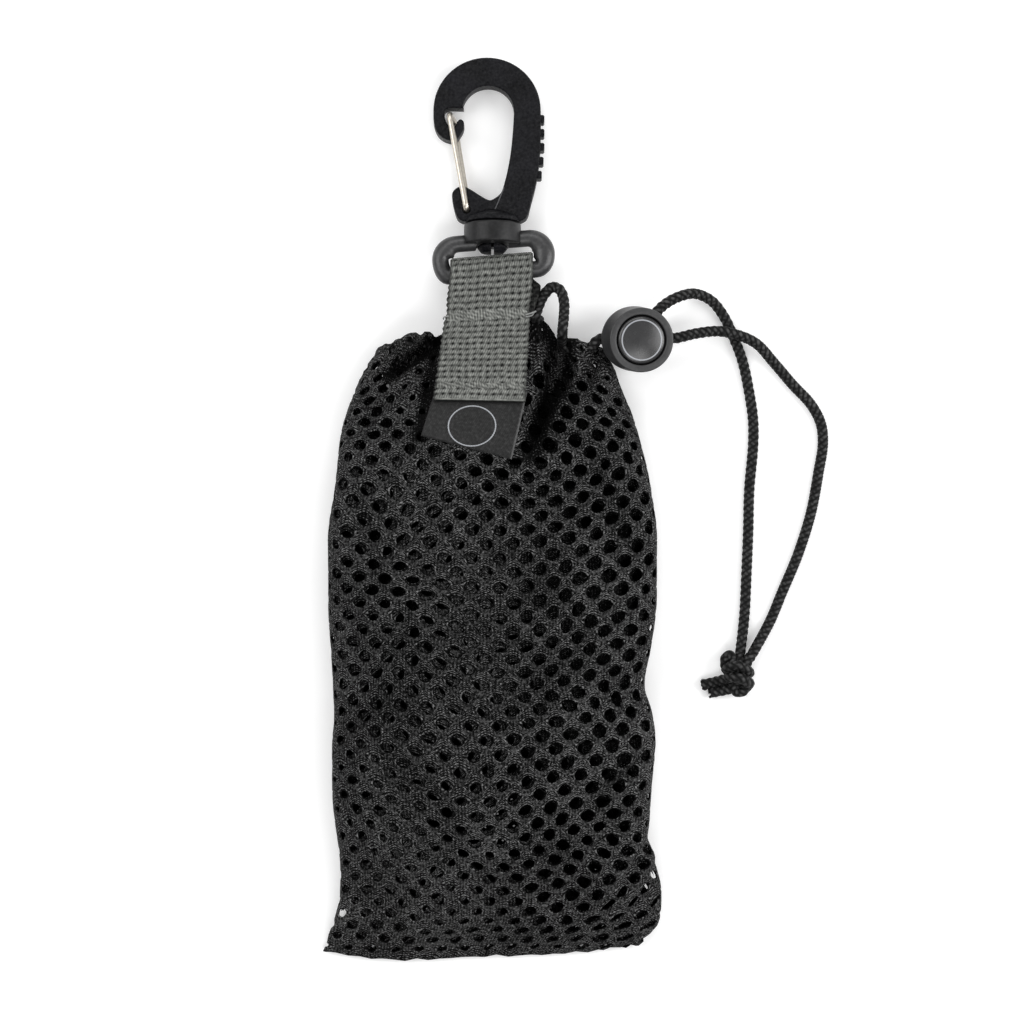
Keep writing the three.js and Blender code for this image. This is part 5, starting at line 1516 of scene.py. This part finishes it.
# swivel ring with its collar
R = RING_SIZE
ring_line = []
for side in (1, -1):
    for a in np.linspace(-math.pi / 2, math.pi / 2, 41)[:: 1 if side > 0 else 1]:
        a = a if side > 0 else -a
        rx = (R["corner"] if side < 0 else 1.6 * R["corner"]) if a < 0 else R["end"]
        mid = R["straight"] / 2 + R["end"] - rx
        ring_line.append((side * (mid + rx * math.cos(a)), R["end"] * math.sin(a)))
ring_line = np.array(ring_line)
ring_line = even(np.concatenate([ring_line, ring_line[:1]]), 0.5)[:-1]
c, s = math.cos(R["yaw"]), math.sin(R["yaw"])
nxt, prv = np.roll(ring_line, -1, 0), np.roll(ring_line, 1, 0)
tan = unit(nxt - prv)
nrm = np.stack([tan[:, 1], -tan[:, 0]], 1)
ang = np.arange(36) / 36 * TAU
out_way = nrm * np.sign((nrm * ring_line).sum(1))[:, None]
full = (0.55 + 0.1 * (ring_line[:, 0] > 0)) * smooth(R["straight"] / 2 - 1, R["straight"] / 2 + 3, np.abs(ring_line[:, 0])) * np.where(ring_line[:, 0] > 0, smooth(-5.1, -2.1, ring_line[:, 1]), smooth(0.6, 3.0, ring_line[:, 1]))
ring_line = ring_line - out_way * full[:, None]
pos = ring_line[:, None] + (R["bar"] + full)[:, None, None] * np.cos(ang)[None, :, None] * nrm[:, None]
pts = np.stack(
    [
        R["x"] + pos[..., 0] * c - pos[..., 1] * s,
        R["y"] + pos[..., 0] * s + pos[..., 1] * c,
        np.broadcast_to(R["bar"] * np.sin(ang), pos.shape[:2]),
    ],
    -1,
)
ring_ob = outward(mesh_object("ring", pts.reshape(-1, 3), grid_faces(len(ring_line), 36, True, True), RING_PLASTIC))
bore_v, bore_f = turned_y([(0, 6), (3.5, 6), (3.5, -3.0), (4.9, -3.0), (4.9, -7.6), (0, -7.6)], 64)
ring_ob = carve(ring_ob, outward(mesh_object("bore", bore_v, bore_f, None)))
collar_v, collar_f = turned_y(rounded([(0, 2.9), (3.5, 2.9), (8.05, 2.9), (8.05, -3.0), (4.9, -3.0), (3.5, -3.0), (3.5, -2.9), (0, -2.9)], 0.7, 6), 128)
collar = outward(mesh_object("collar", collar_v, collar_f, RING_PLASTIC))
hole_v, hole_f = turned_y([(0, 7), (3.5, 7), (3.5, -9), (0, -9)], 64)
collar = carve(collar, outward(mesh_object("collar_bore", hole_v, hole_f, None)))
ring = merge("ring_and_collar", [ring_ob, collar], RING_PLASTIC, None, 50)
# painted shade on the collar, which is darker than the ring
painted_shade = ring.data.attributes.new("painted_shade", "FLOAT", "POINT")
painted_shade.data.foreach_set("value", [float(math.hypot(q.co.x, q.co.z) < 8.3 * MM and q.co.y > -3.2 * MM) for q in ring.data.vertices])
ring.data.transform(HOOK_FRAME)
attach(ring, "ring")
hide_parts("swivel_ring")

# ------------------------------------------------------------------ cord lock
lock_v, lock_f = turned(
    rounded(
        [
            (0, 0), (5.6, 0), (7.2, 1.2), (8.5, 9.5), (9.1, 12.0), (9.1, 15.6), (7.05, 15.6), (7.05, 10.7), (5.6, 10.7), (5.6, 1.4), (0, 1.4),
        ],
        0.55, 5,
    ),
    128,
)
swell = 1.9 * np.clip(np.cos(np.arctan2(lock_v[:, 1], lock_v[:, 0]) - 170 * DEG), 0, 1) ** 1.2
swell = swell * smooth(15.3, 11.5, lock_v[:, 2]) * smooth(1.0, 8.0, lock_v[:, 2]) * (np.hypot(lock_v[:, 0], lock_v[:, 1]) > 7.3)
lock_v[:, :2] *= 1 + (swell / np.maximum(np.hypot(lock_v[:, 0], lock_v[:, 1]), 1))[:, None]
lock_ob = outward(mesh_object("lock_shell", lock_v, lock_f, LOCK_PLASTIC))
back = LOCK_FRAME.inverted()


def into_lock(line):
    return np.array([back @ (Vector(p) * MM) for p in line]) / MM


for line in (upper_line, lower_line):
    local = into_lock(line)
    near = np.linalg.norm(local[:, :2], axis=1) < 11.5
    v, f, _, _ = tube(even(local[near], 0.8), 1.72, 24)
    lock_ob = carve(lock_ob, outward(mesh_object("cord_way", v, f, None)))
lock = merge("lock_cup", [lock_ob], LOCK_PLASTIC, LOCK_FRAME, 40)
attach(lock, "bag")
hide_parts("lock_body")

BUTTON_R = 6.65
dome = [(0, 4.4), (5.2, 4.4), (5.2, 13.4), (6.65, 13.4), (6.65, 15.15)]
dome += [(BUTTON_R - 0.12 - 0.5 * (1 - math.cos(a)), 15.15 + 0.42 * math.sin(a)) for a in np.linspace(0.3, 1.4, 5)]
dome += [(r, 15.62 + 0.55 * (1 - (r / 6.1) ** 2)) for r in np.linspace(5.95, 0.4, 12)] + [(0, 16.17)]
button_v, button_f = turned(dome, 128)
button_ob = outward(mesh_object("button_cap", button_v, button_f, BUTTON_PLASTIC))
slot_box = Matrix.Rotation(LOCK["turn"], 3, "Z")
low_z, high_z = LOCK["at"] - 1.72 - 0.1, LOCK["at"] + 1.72 + 0.1 + 2.5
corners = np.array([slot_box @ Vector((x, y, z)) for x in (-15, 15) for y in (-3.7, 3.7) for z in (low_z, high_z)])
cut = mesh_object("button_slot", corners, np.array([[0, 1, 3, 2], [4, 6, 7, 5], [0, 4, 5, 1], [2, 3, 7, 6], [0, 2, 6, 4], [1, 5, 7, 3]]), None)
button_ob = carve(button_ob, outward(cut))
button = merge("button", [button_ob], BUTTON_PLASTIC, LOCK_FRAME, 40)
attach(button, "button")
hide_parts("lock_button")

# thin pale ring on the button's face
a = np.arange(160) / 160 * TAU
circle = np.stack([5.78 * np.cos(a), 5.78 * np.sin(a), np.full(len(a), 15.62 + 0.55 * (1 - (5.78 / 6.1) ** 2))], 1)
inner_c = np.stack([5.42 * np.cos(a), 5.42 * np.sin(a), np.full(len(a), 15.62 + 0.55 * (1 - (5.42 / 6.1) ** 2))], 1)
lift = np.array([0, 0, 0.03])
low = np.array([0, 0, -0.2])
band_v = np.concatenate([circle + lift, inner_c + lift, inner_c + low, circle + low])
k = len(a)
i = np.arange(k)
j = (i + 1) % k
band_f = np.concatenate([np.stack([q * k + i, q * k + j, ((q + 1) % 4) * k + j, ((q + 1) % 4) * k + i], 1) for q in range(4)])
print_ob = outward(mesh_object("button_ring", band_v, band_f, PRINT))
print_ring = merge("button_line", [print_ob], PRINT, LOCK_FRAME, 40)
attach(print_ring, "button")
